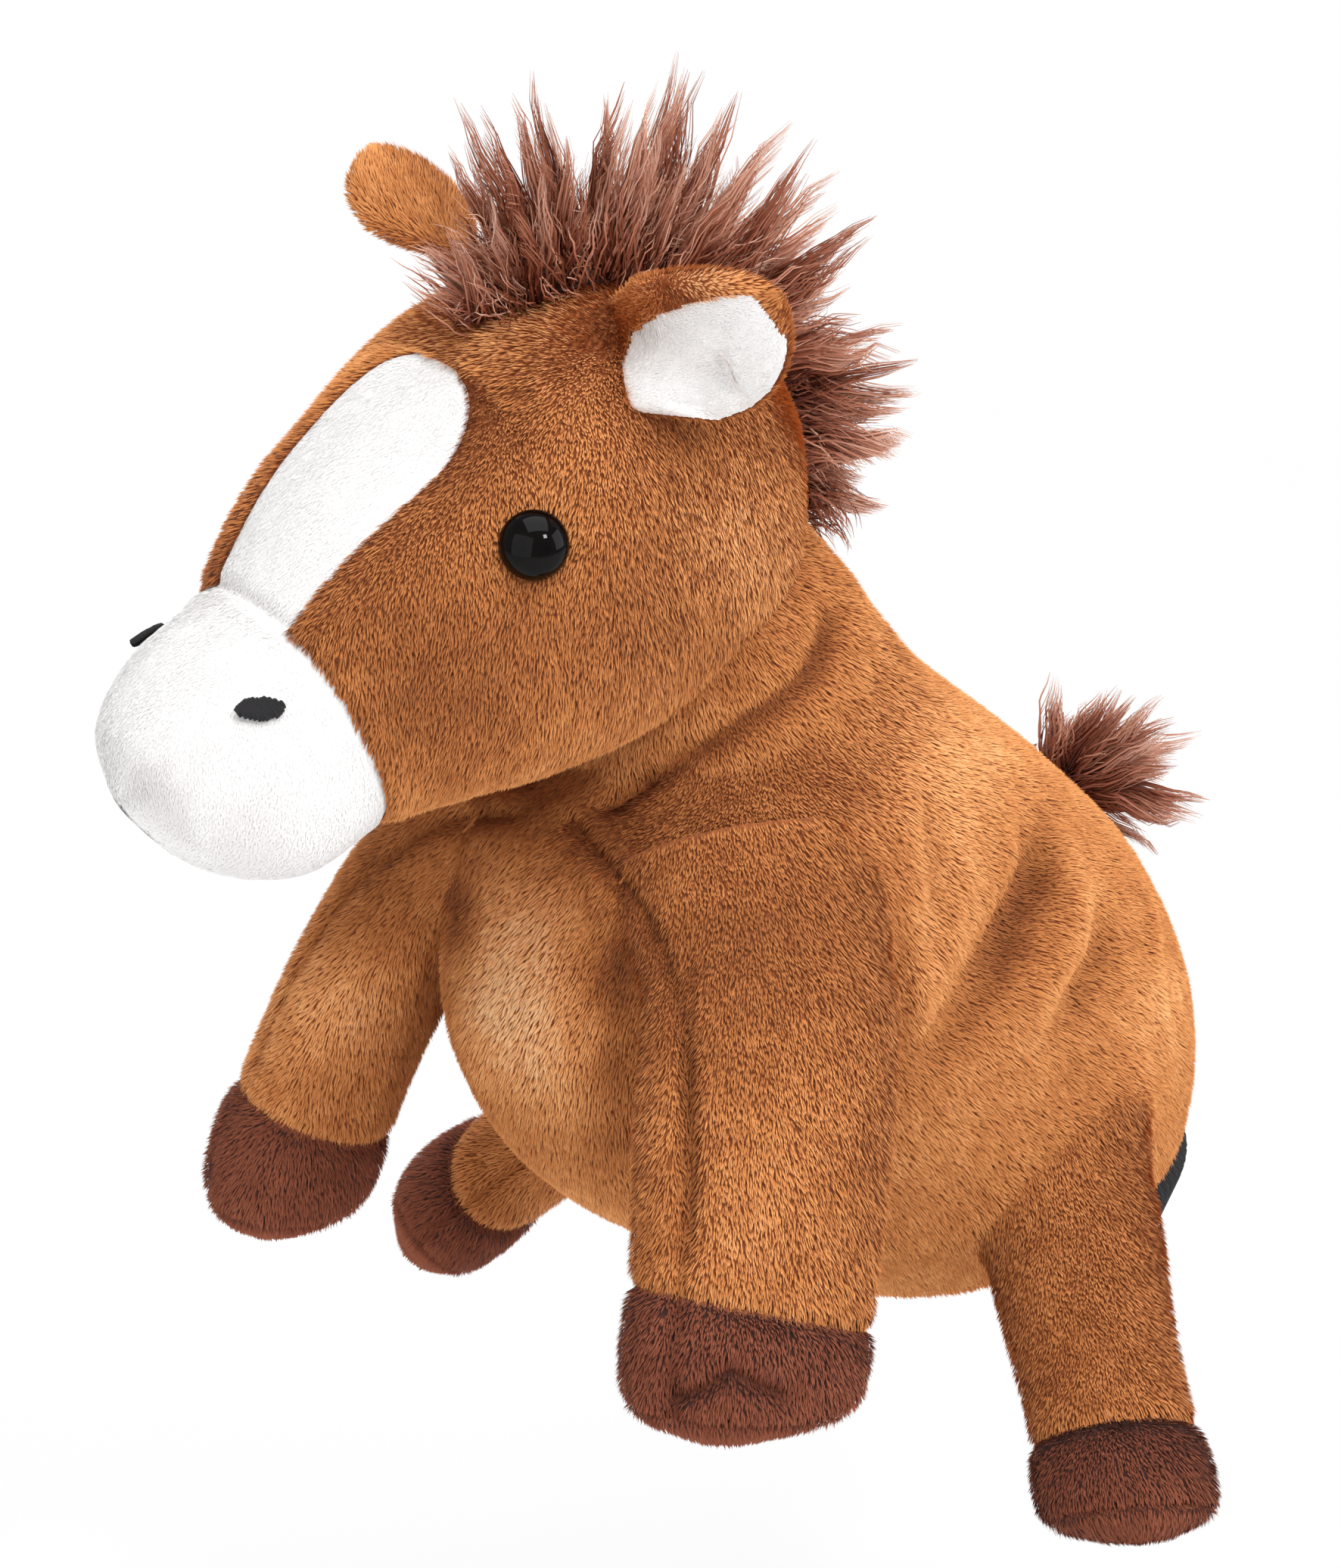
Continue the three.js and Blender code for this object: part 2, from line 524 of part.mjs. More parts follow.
// Head: plush sides, a white muzzle and blaze, eyes on shanks with washers behind them, stuffing and
// a stall for the finger
function buildHead() {
  const group = new THREE.Group();
  group.applyMatrix4(headPlace);
  const root = ball(V(0, 0, 0), NECK_BALL + GAP);
  const eyes = Object.keys(SIDE).map((side) => eyeParts(SIDE[side]));
  const eyeHoles = union(eyes.map((eye) => eye.hole));

  const seamGap = share(head, MUZZLE_SEAM, GAP / 2);
  const plush = cap(head, 0, -PLUSH, MUZZLE_SEAM - seamGap, 0, HEAD_INSIDE.nape, HEAD_FACETS);
  const cover = plush.subtract(root).subtract(eyeHoles);
  for (const side of Object.keys(SIDE)) {
    add(group, `head_side_${side}`, cover.intersect(halfSpace(SIDE[side])), BROWN);
  }
  const muzzleFacets = { sides: HEAD_FACETS.sides, rows: 6 };
  const muzzle = cap(head, 0, -PLUSH, MUZZLE_SEAM + seamGap, 1, HEAD_INSIDE.nose, muzzleFacets);
  add(group, "muzzle", muzzle, WHITE);
  add(group, "blaze", blaze(seamGap), WHITE);
  for (const side of Object.keys(SIDE)) {
    add(group, `nostril_${side}`, nostril(SIDE[side]), BLACK_CLOTH);
  }
  Object.keys(SIDE).forEach((side, i) => {
    add(group, `eye_${side}`, eyes[i].eye, EYE_BLACK);
    add(group, `eye_washer_${side}`, eyes[i].washer, WASHER_WHITE);
  });
  add(group, "mane", mane(), HAIR_BROWN);

  const { mouth, end } = headFinger();
  const pocket = rod(mouth, end, HEAD_FINGER.radius + GAP);
  const { nape, nose } = HEAD_STUFFING;
  const bulk = plug(head, -PLUSH - EASE, nape, nose, { sides: 16, rows: HEAD_FACETS.rows });
  const stuffing = bulk.add(ball(V(0, 0, 0), NECK_BALL));
  const eyePockets = union(eyes.map((eye) => eye.pocket));
  add(group, "head_filling", stuffing.subtract(pocket).subtract(eyePockets), FIBRE);
  add(group, "head_finger_stall", headStall(), BLACK_CLOTH);
  return group;
}

// Half of space on one side of the middle plane, short of it by half a gap
function halfSpace(s) {
  const size = 1000;
  return solidOf(new THREE.BoxGeometry(size, size, size).translate(s * (size / 2 + GAP / 2), 0, 0));
}

// The white patch down the face, round at the top, which meets the muzzle's seam
function blaze(seamGap) {
  const halfAngle = (v) => {
    const rise = Math.min(1, v / BLAZE.roundTop);
    return rad(lerp(BLAZE.wide, BLAZE.narrow, v)) * Math.sqrt(1 - (1 - rise) ** 2 * (1 - BLAZE.blunt ** 2));
  };
  const surface = (u, v) => {
    const along = lerp(BLAZE.from, MUZZLE_SEAM - seamGap, v);
    return head.at(along, lerp(-1, 1, u) * halfAngle(v));
  };
  return clothOver(head, surface, 2 * GAP, 2 * GAP + APPLIQUE, ACROSS.blaze, BODY.rows);
}

// A satin-stitched oval on the muzzle
function nostril(s) {
  const at = (share, angle, d) =>
    skinPoint(
      head,
      NOSTRIL.along + share * NOSTRIL.halfAlong * Math.cos(angle),
      s * rad(NOSTRIL.angle + share * (NOSTRIL.halfAngle * Math.sin(angle) + NOSTRIL.lean * Math.cos(angle))),
      d,
    );
  const oval = (share, d) => round(SMALL.sides).map((angle) => at(share, angle, d));
  return skin([[at(0, 0, GAP)], oval(1, GAP), oval(NOSTRIL.crown, GAP + THREAD), [at(0, 0, GAP + THREAD)]]);
}

// A domed eye on a shank, and the washer that holds it behind the plush
function eyeParts(s) {
  const place = skinPoint(head, EYE.along, s * rad(EYE.angle), 0);
  const axis = normalAt(head, EYE.along, s * rad(EYE.angle));
  const round = steps(SMALL.rows, 0, Math.PI / 2).slice(0, -1);
  const dome = round.map((a) => [EYE.radius * Math.cos(a), GAP + EYE.dome * Math.sin(a)]);
  const stem = [[0, -EYE.shankLength], [EYE.shank, -EYE.shankLength], [EYE.shank, GAP]];
  const profile = [...stem, ...dome, [0, GAP + EYE.dome]];
  const [front, back] = [-WASHER.depth, -WASHER.depth - WASHER.thickness];
  const bore = EYE.shank + GAP;
  const flat = [[bore, back], [WASHER.radius, back], [WASHER.radius, front], [bore, front], [bore, back]];
  const point = (d) => place.clone().addScaledVector(axis, d);
  const shankHole = rod(point(-EYE.shankLength - GAP), point(EYE.dome), bore);
  return {
    eye: turnedProfile(profile, place, axis, SMALL.sides),
    washer: turnedProfile(flat, place, axis, SMALL.sides),
    hole: shankHole,
    pocket: shankHole.add(rod(point(back - GAP), point(0), WASHER.radius + GAP)),
  };
}

// The mane stands along the middle of the crown, from the forelock to below the nape
function mane() {
  const crest = steps(12, 0, 1).map((v) => {
    const along = lerp(MANE.front, MANE.nape, v);
    const up = normalAt(head, along, 0);
    const foot = head.at(along, 0).addScaledVector(up, -MANE.half / 2);
    const rise = Math.min(1, v / MANE_RISE);
    const fall = Math.max(0, (v - MANE_RISE) / (1 - MANE_RISE));
    const height = MANE.half / 2 + lerp(lerp(MANE.brow, MANE.crest, rise), MANE.back, fall);
    return maneLoop(foot, up, height);
  });
  const last = head.at(MANE.nape, 0);
  const down = V(0, MANE_LEAN, -1).normalize();
  const back = V(0, 1, MANE_LEAN).normalize();
  const nape = steps(2, 0.5, 1).map((v) => {
    const foot = last.clone().addScaledVector(down, v * MANE.below).addScaledVector(back, -MANE.half / 2);
    return maneLoop(foot, back, MANE.back * lerp(1, MANE_END, v));
  });
  const loops = [...crest, ...nape];
  const crown = plug(head, SWING_GAP, 0, 1, { sides: HEAD_FACETS.sides, rows: 2 * HEAD_FACETS.rows });
  const body = skin([middle(loops[0]), ...loops, middle(loops.at(-1))]).subtract(crown);
  return body.subtract(torsoSeenFromHead(torsoBody)).subtract(ball(V(0, 0, 0), collarOutside + SWING_GAP));
}

function maneLoop(foot, up, height) {
  const at = ([x, h]) => foot.clone().addScaledVector(up, h * height).add(V(x * MANE.half, 0, 0));
  return MANE_SECTION.map(at);
}

// Everywhere that a solid fixed to the torso can be, seen from the head as it turns and nods
function torsoSeenFromHead(fixed) {
  const g = geometryOf(fixed);
  const turns = poses(RANGE.turn).map((degrees) => turned(turnJoint, degrees));
  const nods = poses(RANGE.nod).map((degrees) => turned(nodJoint, degrees));
  const all = turns.flatMap((turn) => nods.map((nod) => turn.clone().multiply(nod).multiply(headPlace)));
  return union(all.map((pose) => solidOf(g.clone().applyMatrix4(pose.invert()))));
}

// The finger's way into the head, from below the root up along the neck's axis
function headFinger() {
  const axis = neckAxis.clone();
  const mouth = axis.clone().multiplyScalar(-NECK_BALL - GAP);
  return { axis, mouth, end: mouth.clone().addScaledVector(axis, HEAD_FINGER.depth) };
}

function headStall() {
  const { axis, mouth } = headFinger();
  const { radius, depth } = HEAD_FINGER;
  const start = NECK_BALL - Math.sqrt(NECK_BALL ** 2 - radius ** 2) + GAP;
  const top = depth - GAP;
  const outside = [[0, top], [radius, top], [radius, start]];
  const inside = [[radius - LINING, start], [radius - LINING, top - LINING], [0, top - LINING]];
  return turnedProfile([...outside, ...inside], mouth, axis, SMALL.sides);
}

// Where an ear is sewn on, the way it points, the way its hollow faces, and the axis that it folds about
function earFrame(side) {
  const s = SIDE[side];
  const swept = (v) => V(s * v[0], v[1], v[2]).applyAxisAngle(V(0, 0, 1), s * rad(EAR_SWEEP[side]));
  const out = swept(EAR_OUT).normalize();
  const face = swept(EAR_FACE).projectOnPlane(out).normalize();
  const across = face.clone().cross(out);
  return { root: skinPoint(head, EAR.along, s * rad(EAR.angle), 0), out, face, across };
}

// Ears: a plush back and a white lining that curl round a hollow
function buildEar(side) {
  const group = new THREE.Group();
  group.applyMatrix4(headPlace);
  const { root, out, face, across } = earFrame(side);
  const curl = rad(EAR.cup);
  const { flare, taper, blunt } = EAR_SHAPE;
  const tip = (v) => Math.max(0, v - taper) / (1 - taper + blunt);
  const width = (v) => lerp(EAR.root, EAR.half, Math.min(1, v / flare)) * Math.sqrt(1 - tip(v) ** 2);
  const surface = (u, v) => {
    const turn = lerp(-curl, curl, u);
    const radius = width(v) / curl;
    return root
      .clone()
      .addScaledVector(out, lerp(-EAR.sunk, EAR.length, v))
      .addScaledVector(across, radius * Math.sin(turn))
      .addScaledVector(face, radius * (1 - Math.cos(turn)));
  };
  const crown = sweptPast(headBody, { pivot: root, axis: across }, RANGE.ear);
  const back = sheet(surface, 0, EAR.plush, ACROSS.ear, ACROSS.ear);
  const lining = sheet(surface, -GAP - EAR.plush, -GAP, ACROSS.ear, ACROSS.ear);
  add(group, `ear_back_${side}`, back.subtract(crown), BROWN);
  add(group, `ear_lining_${side}`, lining.subtract(crown), WHITE);
  return group;
}

// Legs: two halves of cover with seams in front and behind, a hoof, a sole and stuffing
function buildLeg(spec, side, name, range) {
  const group = new THREE.Group();
  const f = legForm(spec, side);
  const half = seamHalf(f);
  const past = sweptPast(torsoBody, legJoint(spec, side), range);
  const put = (piece, s, material) => add(group, `${name}_${piece}_${side}`, s.subtract(past), material);
  put("outer", legCover(f, spec.hoofSeam, [half, Math.PI - half]), BROWN);
  const inner = legCover(f, spec.hoofSeam, [Math.PI + half, 2 * Math.PI - half]);
  put("inner", spec.stall ? inner.subtract(fingerWay(side, spec.mouth)) : inner, BROWN);
  const hoofFrom = spec.hoofSeam + share(f, spec.hoofSeam, GAP);
  const soleFrom = spec.sole + share(f, spec.sole, SOLE_SEAM);
  put("hoof", sleeve(f, 0, -PLUSH, hoofFrom, spec.sole, { sides: LIMB.sides, rows: 3 }), HOOF_BROWN);
  put("sole", cap(f, 0, -PLUSH, soleFrom, 1, LEG_INSIDE, { sides: LIMB.sides, rows: 2 }), HOOF_BROWN);
  const inside = -PLUSH - LEG_EASE;
  const fillFrom = spec.stall ? spec.stall + share(f, spec.stall, GAP) : 0;
  put("filling", plug(f, inside, fillFrom, LEG_STUFFING, LIMB), FIBRE);
  if (spec.stall) {
    const stallEnd = spec.stall - share(f, spec.stall, LINING);
    const stall = cap(f, inside, inside - LINING, 0, spec.stall, stallEnd, { sides: LIMB.sides, rows: 4 });
    put("finger_stall", stall.subtract(fingerWay(side, spec.mouth)), BLACK_CLOTH);
  }
  return group;
}

// Where the tail's round root beds in the back seam, the way it points, and the axis that it wags about
function tailFrame() {
  const out = normalAt(torso, TAIL.along, Math.PI).applyAxisAngle(V(1, 0, 0), rad(TAIL.lift));
  const root = skinPoint(torso, TAIL.along, Math.PI, TAIL.root + GAP - TAIL.bed);
  return { root, out, up: V(1, 0, 0).cross(out) };
}

// Tail: a round-ended stub sewn into the back seam, with a tuft of long pile
function buildTail() {
  const group = new THREE.Group();
  const { root, out, up } = tailFrame();
  const station = (h, half) => ({
    c: root.clone().addScaledVector(out, h),
    a: up.clone().multiplyScalar(half),
    b: V(half, 0, 0),
  });
  const { length, half, root: stub, rootLength } = TAIL;
  const roundEnd = steps(SMALL.rows, -Math.PI / 2, 0).slice(1);
  const roundStations = roundEnd.map((a) => station(stub * Math.sin(a), stub * Math.cos(a)));
  const stubForm = form([...roundStations, station(rootLength / 2, stub), station(rootLength, stub)]);
  const tuftForm = form(TUFT.map(([h, wide]) => station(h * length, wide * half)));
  const facets = { sides: SMALL.sides, rows: 2 * SMALL.rows };
  add(group, "tail_root", plug(stubForm, 0, 0, 1, facets), HAIR_BROWN);
  add(group, "tail_tuft", plug(tuftForm, 0, 0, 1, facets), HAIR_BROWN);
  return group;
}

const puppet = new THREE.Group();
puppet.add(buildTorso(), buildNeck(), buildHead(), buildTail());
for (const side of Object.keys(SIDE)) {
  puppet.add(buildEar(side));
  puppet.add(buildLeg(FORELEG, side, "foreleg", RANGE.foreleg[side]));
  puppet.add(buildLeg(HINDLEG, side, "hindleg", RANGE.hindleg[side]));
}
export default puppet;
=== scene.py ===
"""Looks of the horse hand puppet: plush with real pile, long hair, a stitched face and a lining."""

import math

import bmesh
import bpy
import numpy as np
from mathutils import Matrix, Vector
from mathutils.bvhtree import BVHTree


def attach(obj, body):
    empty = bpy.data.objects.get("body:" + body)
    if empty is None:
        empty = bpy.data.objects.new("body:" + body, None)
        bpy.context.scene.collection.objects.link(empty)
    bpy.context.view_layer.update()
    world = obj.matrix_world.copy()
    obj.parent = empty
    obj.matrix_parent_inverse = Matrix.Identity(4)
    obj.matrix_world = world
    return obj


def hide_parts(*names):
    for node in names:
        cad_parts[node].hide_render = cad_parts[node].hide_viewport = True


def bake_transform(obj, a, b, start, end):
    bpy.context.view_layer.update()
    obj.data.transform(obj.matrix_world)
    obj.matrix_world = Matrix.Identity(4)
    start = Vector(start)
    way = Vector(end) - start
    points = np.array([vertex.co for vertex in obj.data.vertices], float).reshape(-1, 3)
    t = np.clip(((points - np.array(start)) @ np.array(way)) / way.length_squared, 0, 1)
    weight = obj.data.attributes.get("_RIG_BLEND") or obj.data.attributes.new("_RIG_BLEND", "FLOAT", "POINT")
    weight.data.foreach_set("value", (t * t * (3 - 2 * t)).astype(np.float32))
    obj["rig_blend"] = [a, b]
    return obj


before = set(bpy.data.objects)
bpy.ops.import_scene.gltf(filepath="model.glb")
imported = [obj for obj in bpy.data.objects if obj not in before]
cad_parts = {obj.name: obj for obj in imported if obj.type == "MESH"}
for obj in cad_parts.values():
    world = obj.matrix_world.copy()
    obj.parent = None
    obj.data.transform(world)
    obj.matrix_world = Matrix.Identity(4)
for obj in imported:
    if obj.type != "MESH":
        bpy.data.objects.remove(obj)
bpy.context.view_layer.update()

MM = 0.001  # shapes are worked out in millimetres, and meshes are in metres
SIDES = {"left": 1, "right": -1}

# Camera, and the size of the picture that the fold lines below are given in
PICTURE = (1772, 2072)
PIXELS_PER_MM = 7
CAMERA = {"target": (0, -83, 117.5), "azimuth": 47, "elevation": 20, "distance": 950}
SENSOR = 36

# Torso ribs from the neck to the hand opening: middle of the front and of the back as (y, z), and half width
TORSO_RIBS = [
    ((-106, 127), (-44, 151), 35),
    ((-119, 104), (-31, 136), 46),
    ((-125, 72), (1, 111), 52),
    ((-112, 44), (28, 85), 54),
    ((-86, 23), (44, 56), 51),
    ((-59, 9), (47, 28), 44),
    ((-36, -2), (36, 2), 36),
]
TORSO_FULLNESS = 0.92
HEM_FRONT, HEM_BACK = 9.5, 18  # from the end of the torso up to the plush's hem
BAND_HEIGHT = 19
BAND_LIFT = 8  # how much higher the band ends in front
BAND_BULGE = 8.5  # of the lining below the hem at the back
BELLY_SEAM = 38
# Folds that each side of the loose body hangs in: a line of (along, angle) on the torso, depth and half width
FOLDS = [
    (((0.27, 140), (0.318, 123), (0.343, 118), (0.36, 106), (0.38, 92), (0.43, 72)), 6, 6.5),
    (((0.455, 126), (0.47, 112), (0.49, 92)), 3, 5.5),
]
FOLD_FADE = 0.35  # share of a fold's line over which it deepens at each end
LINING_FOLD = 1.25  # depth and width of a fold in the lining, as a share of that in the plush
# Swells of the plush beside the folds, as folds of less than no depth, with painted light on them
SWELLS = [
    (((0.08, 106), (0.135, 102), (0.2, 94), (0.253, 90), (0.325, 85), (0.385, 81), (0.46, 74)), -2.4, 3.5),
    (((0.2, 114), (0.255, 105), (0.295, 97), (0.352, 86), (0.4, 78)), -1.6, 5),
    (((0.33, 130), (0.372, 124), (0.425, 112), (0.453, 98), (0.5, 86)), -2.0, 5),
    (((0.44, 142), (0.505, 137), (0.55, 126), (0.66, 115), (0.78, 110)), -1.3, 4),
]
# Neck above the torso's first rib: height, and share of the rib's size
NECK = [(30, 0.64), (22, 0.78), (14, 0.88), (7, 0.95), (0, 1)]

# Head ribs in the head's frame from the nape to the nose: middle of the crown and of the jaw, and half width
HEAD_RIBS = [
    ((19, 35), (19, 29), 3),
    ((13, 51), (15, 13), 19),
    ((0, 65), (5, -1), 31),
    ((-20, 72), (-19, -13), 40),
    ((-44, 66), (-44, -17), 47.5),
    ((-70, 42), (-61, -19), 41),
    ((-90, 21), (-72, -22), 31.5),
    ((-107, 12), (-88, -30), 29),
    ((-117, 1), (-105, -27), 20),
    ((-119, -10), (-116, -17), 5),
]
HEAD_FULLNESS = 0.82
HEAD_TURN = -13
NECK_RISE = 8.5
MUZZLE_SEAM = 0.672
BLAZE = {"from": 0.48, "wide": 28, "narrow": 23.5, "round_top": 0.3, "blunt": 0.2}
BRIDGE = {"along": 0.6, "reach": 0.1, "flat": 35, "edge": 80, "rise": 4}  # fullness of the nose
EYE = {"along": 0.498, "angle": 65, "radius": 6.2, "dome": 4.6}
NOSTRIL = {"along": 0.745, "angle": 47, "half_along": 0.022, "half_angle": 6, "lean": -4}

# Legs: out, forwards and down from the joint, and half sizes, from the root to the sole
FORELEG = {
    "along": 0.2,
    "angle": 65,
    "swing": {"left": 0, "right": 0},
    "stations": [
        (-14, -2, -6, 20, 15),
        (2, 6, 14, 24.5, 16),
        (12, 17, 38, 24.5, 15.5),
        (18, 25, 60, 23.5, 15.5),
        (21, 30, 73, 23.5, 16.5),
        (22, 32, 81, 21, 14),
        (22, 32, 85, 11, 7),
    ],
    "hoof": 0.54,
    "sole": 0.82,
    "seam": 42,
    "slant": {"left": -0.024, "right": -0.024},
    "fillet": (4, 22),
    "sag": {"left": (0, 0, 0), "right": (1, 0, -2.5)},
}
HINDLEG = {
    "along": 0.72,
    "angle": 85,
    "swing": {"left": 12, "right": -2},
    "stations": [
        (-14, -8, -12, 19, 13),
        (5, 6, 4, 18.5, 13.5),
        (19, 18, 15, 17, 12.5),
        (30, 27, 25, 16.5, 12.5),
        (39, 35, 34, 18, 14),
        (43, 39, 39, 16, 12),
        (45, 41, 42, 8, 6),
    ],
    "hoof": 0.55,
    "sole": 0.82,
    "seam": 0,
    "slant": {"left": 0, "right": 0.07},
    "fillet": (5, 14),
    "sag": {"left": (1.5, 2.6, 1.9), "right": (-4, -1, -9)},
}
LEG_TURN_IN = 25

# Ears in the head's frame
EAR = {"along": 0.372, "angle": 35.5, "length": 34.5, "root": 12, "cup": 40, "sunk": 3, "thick": 2, "puff": 4}
EAR_LINE = {"span": 16, "shear": -0.018, "reach": 0.45}  # the seam on the head that an ear follows
EAR_HALF = {"left": (18, 15.5), "right": (20, 15)}  # half widths, below and above the middle
EAR_SHAPE = {"flare": 0.4, "taper": 0.45, "blunt": 0.01, "least": 0.002}
# Powers by which an ear thins to its sides and to its tip, and how much it thins there
EAR_RIM = {"sides": 8, "tip": 10, "thinner": 0.9}
EAR_OUT = {"left": (0.825, 0.323, 0.4), "right": (-0.729, -0.233, 0.542)}
EAR_FACE = {"left": (0.609, -0.649, -0.42), "right": (-0.62, -0.2, -0.66)}

# Mane and tail
MANE = {"front": 0.445, "nape": 0.03, "below": 20, "half": 8}
TAIL = {"along": 0.485, "root": 4, "lift": -12, "length": 22, "gather": 0.9, "sweep": (0, 3, -3)}

# Seams: how deep they press in, their half width, and how much darker they are painted, as shade in their
# grooves
BACK_SEAM = (0.9, 1.6, 0.1)
LEG_SEAM = (1.1, 1.7, 0.12)
HOOF_SEAM = (1.3, 1.6, 0)
SOLE_SEAM = (1, 1.2, 0)
MUZZLE_EDGE = (1.2, 1.5, 0.14)
JAW_SEAM = (0.8, 1.5, 0.1)
CROWN_SEAM = (0.7, 1.3, 0.1)
BLAZE_EDGE = (0.8, 1.4, 0.08)
# Radii that turn an angle from a seam into a distance
SEAM_RADIUS = {"back": 45, "leg": 20, "jaw": 25, "crown": 45, "blaze": 38}

PILE_RISE = 1.2  # how far the tips of the short pile stand above its backing


def unit(v):
    v = np.asarray(v, float)
    return v / np.linalg.norm(v, axis=-1, keepdims=True)


def around(count):
    """Angles of so many points round a circle."""
    return np.linspace(0, 2 * np.pi, count, endpoint=False)


def smooth(low, high, x):
    t = np.clip((x - low) / (high - low), 0, 1)
    return t * t * (3 - 2 * t)


def bell(x, half):
    return np.exp(-((x / half) ** 2))


def spline(points, t):
    """A smooth curve through evenly spaced points, for t from 0 to 1."""
    points = np.asarray(points, float)
    ends = np.vstack([2 * points[0] - points[1], points, 2 * points[-1] - points[-2]])
    place = np.clip(t, 0, 1) * (len(points) - 1)
    i = np.minimum(place.astype(int), len(points) - 2)
    w = (place - i)[..., None]
    before, here, after, beyond = (ends[i + k] for k in range(4))
    leave, arrive = (after - before) / 2, (beyond - here) / 2
    step = after - here
    return here + w * (leave + w * (3 * step - 2 * leave - arrive + w * (leave + arrive - 2 * step)))


NUDGE = 1e-3  # step to either side by which a slope is measured


class Form:
    """A smooth tube of oval sections, from stations of a centre and two half axes."""

    def __init__(self, stations, fullness=1, place=None):
        self.centres, self.firsts, self.seconds = (np.array(v, float) for v in zip(*stations))
        self.fullness = fullness
        self.place = place

    def centre(self, along):
        return self.placed(spline(self.centres, np.asarray(along, float)))

    def placed(self, points):
        return points if self.place is None else points @ self.place[:3, :3].T + self.place[:3, 3]

    def at(self, along, angle):
        along, angle = np.broadcast_arrays(np.asarray(along, float), np.asarray(angle, float))
        full = [np.sign(x) * np.abs(x) ** self.fullness for x in (np.cos(angle), np.sin(angle))]
        first = spline(self.firsts, along) * full[0][..., None]
        second = spline(self.seconds, along) * full[1][..., None]
        return self.placed(spline(self.centres, along) + first + second)

    def share(self, along, distance):
        """A distance near a place along the form, as a share of its length."""
        t = np.clip(along, NUDGE, 1 - NUDGE)
        return 2 * NUDGE * distance / np.linalg.norm(self.centre(t + NUDGE) - self.centre(t - NUDGE))

    def normal(self, along, angle):
        onward = self.at(along + NUDGE, angle) - self.at(along - NUDGE, angle)
        across = self.at(along, angle + NUDGE) - self.at(along, angle - NUDGE)
        n = unit(np.cross(across, onward))
        return n * np.sign(np.sum(n * (self.at(along, angle) - self.centre(along))))


def middle_rib(first, second, half):
    first, second = np.array((0, *first), float), np.array((0, *second), float)
    centre = (first + second) / 2
    return centre, first - centre, (half, 0, 0)


def turn_about(axis, degrees, pivot=(0, 0, 0)):
    move = Matrix.Translation(pivot) @ Matrix.Rotation(math.radians(degrees), 4, axis)
    return np.array(move @ Matrix.Translation(-Vector(pivot)))


def moved(matrix, points):
    return np.asarray(points) @ matrix[:3, :3].T + matrix[:3, 3]


torso = Form([middle_rib(*rib) for rib in TORSO_RIBS], TORSO_FULLNESS)
neck_rib = middle_rib(*TORSO_RIBS[0])
neck_axis = unit(np.cross(neck_rib[1], neck_rib[2]))
neck_pivot = neck_rib[0] + NECK_RISE * neck_axis
head_place = np.array(Matrix.Translation(neck_pivot) @ Matrix.Rotation(math.radians(HEAD_TURN), 4, "Z"))
head = Form([middle_rib(*rib) for rib in HEAD_RIBS], HEAD_FULLNESS, head_place)


def leg_pivot(leg, side):
    return torso.at(leg["along"], SIDES[side] * math.radians(leg["angle"]))


def leg_form(leg, side):
    s = SIDES[side]
    pivot = leg_pivot(leg, side)
    path = np.array([pivot + (s * out, -fore, -down) for out, fore, down, _, _ in leg["stations"]])
    broad = np.array((-s * math.sin(math.radians(LEG_TURN_IN)), -math.cos(math.radians(LEG_TURN_IN)), 0))
    swing = turn_about("X", leg["swing"][side], pivot)
    stations = []
    for i, (*_, wide, thick) in enumerate(leg["stations"]):
        onward = unit(path[min(i + 1, len(path) - 1)] - path[max(i - 1, 0)])
        first = unit(broad - onward * (broad @ onward))
        second = np.cross(first, onward) * s
        turned = [swing[:3, :3] @ v for v in (first * wide, second * thick)]
        sag = np.array(leg["sag"][side]) * (i / (len(path) - 1)) ** 2
        stations.append((moved(swing, path[i]) + sag, *turned))
    return Form(stations)


legs = {}
for kind, leg in (("foreleg", FORELEG), ("hindleg", HINDLEG)):
    for side in SIDES:
        legs[f"{kind}_{side}"] = leg_form(leg, side)


# Camera
target = np.array(CAMERA["target"], float)
azimuth, elevation = math.radians(CAMERA["azimuth"]), math.radians(CAMERA["elevation"])
view_back = np.array(
    (
        math.sin(azimuth) * math.cos(elevation),
        -math.cos(azimuth) * math.cos(elevation),
        math.sin(elevation),
    )
)
view_right = np.array((math.cos(azimuth), math.sin(azimuth), 0))
view_up = np.cross(view_back, view_right)


def pixels(points):
    """Where points in millimetres lie in the picture."""
    d = points - target
    depth = 1 - d @ view_back / CAMERA["distance"]
    x = PICTURE[0] / 2 + PIXELS_PER_MM * (d @ view_right) / depth
    y = PICTURE[1] / 2 - PIXELS_PER_MM * (d @ view_up) / depth
    return np.stack([x, y], -1)


def add_camera():
    camera = bpy.data.cameras.new("camera")
    camera.sensor_width = SENSOR
    camera.lens = SENSOR * PIXELS_PER_MM * CAMERA["distance"] / PICTURE[1]
    holder = bpy.data.objects.new("camera", camera)
    turn = Matrix([view_right, view_up, view_back]).transposed().to_4x4()
    place = (target + view_back * CAMERA["distance"]) * MM
    holder.matrix_world = Matrix.Translation(place) @ turn
    bpy.context.collection.objects.link(holder)
    bpy.context.scene.camera = holder


add_camera()


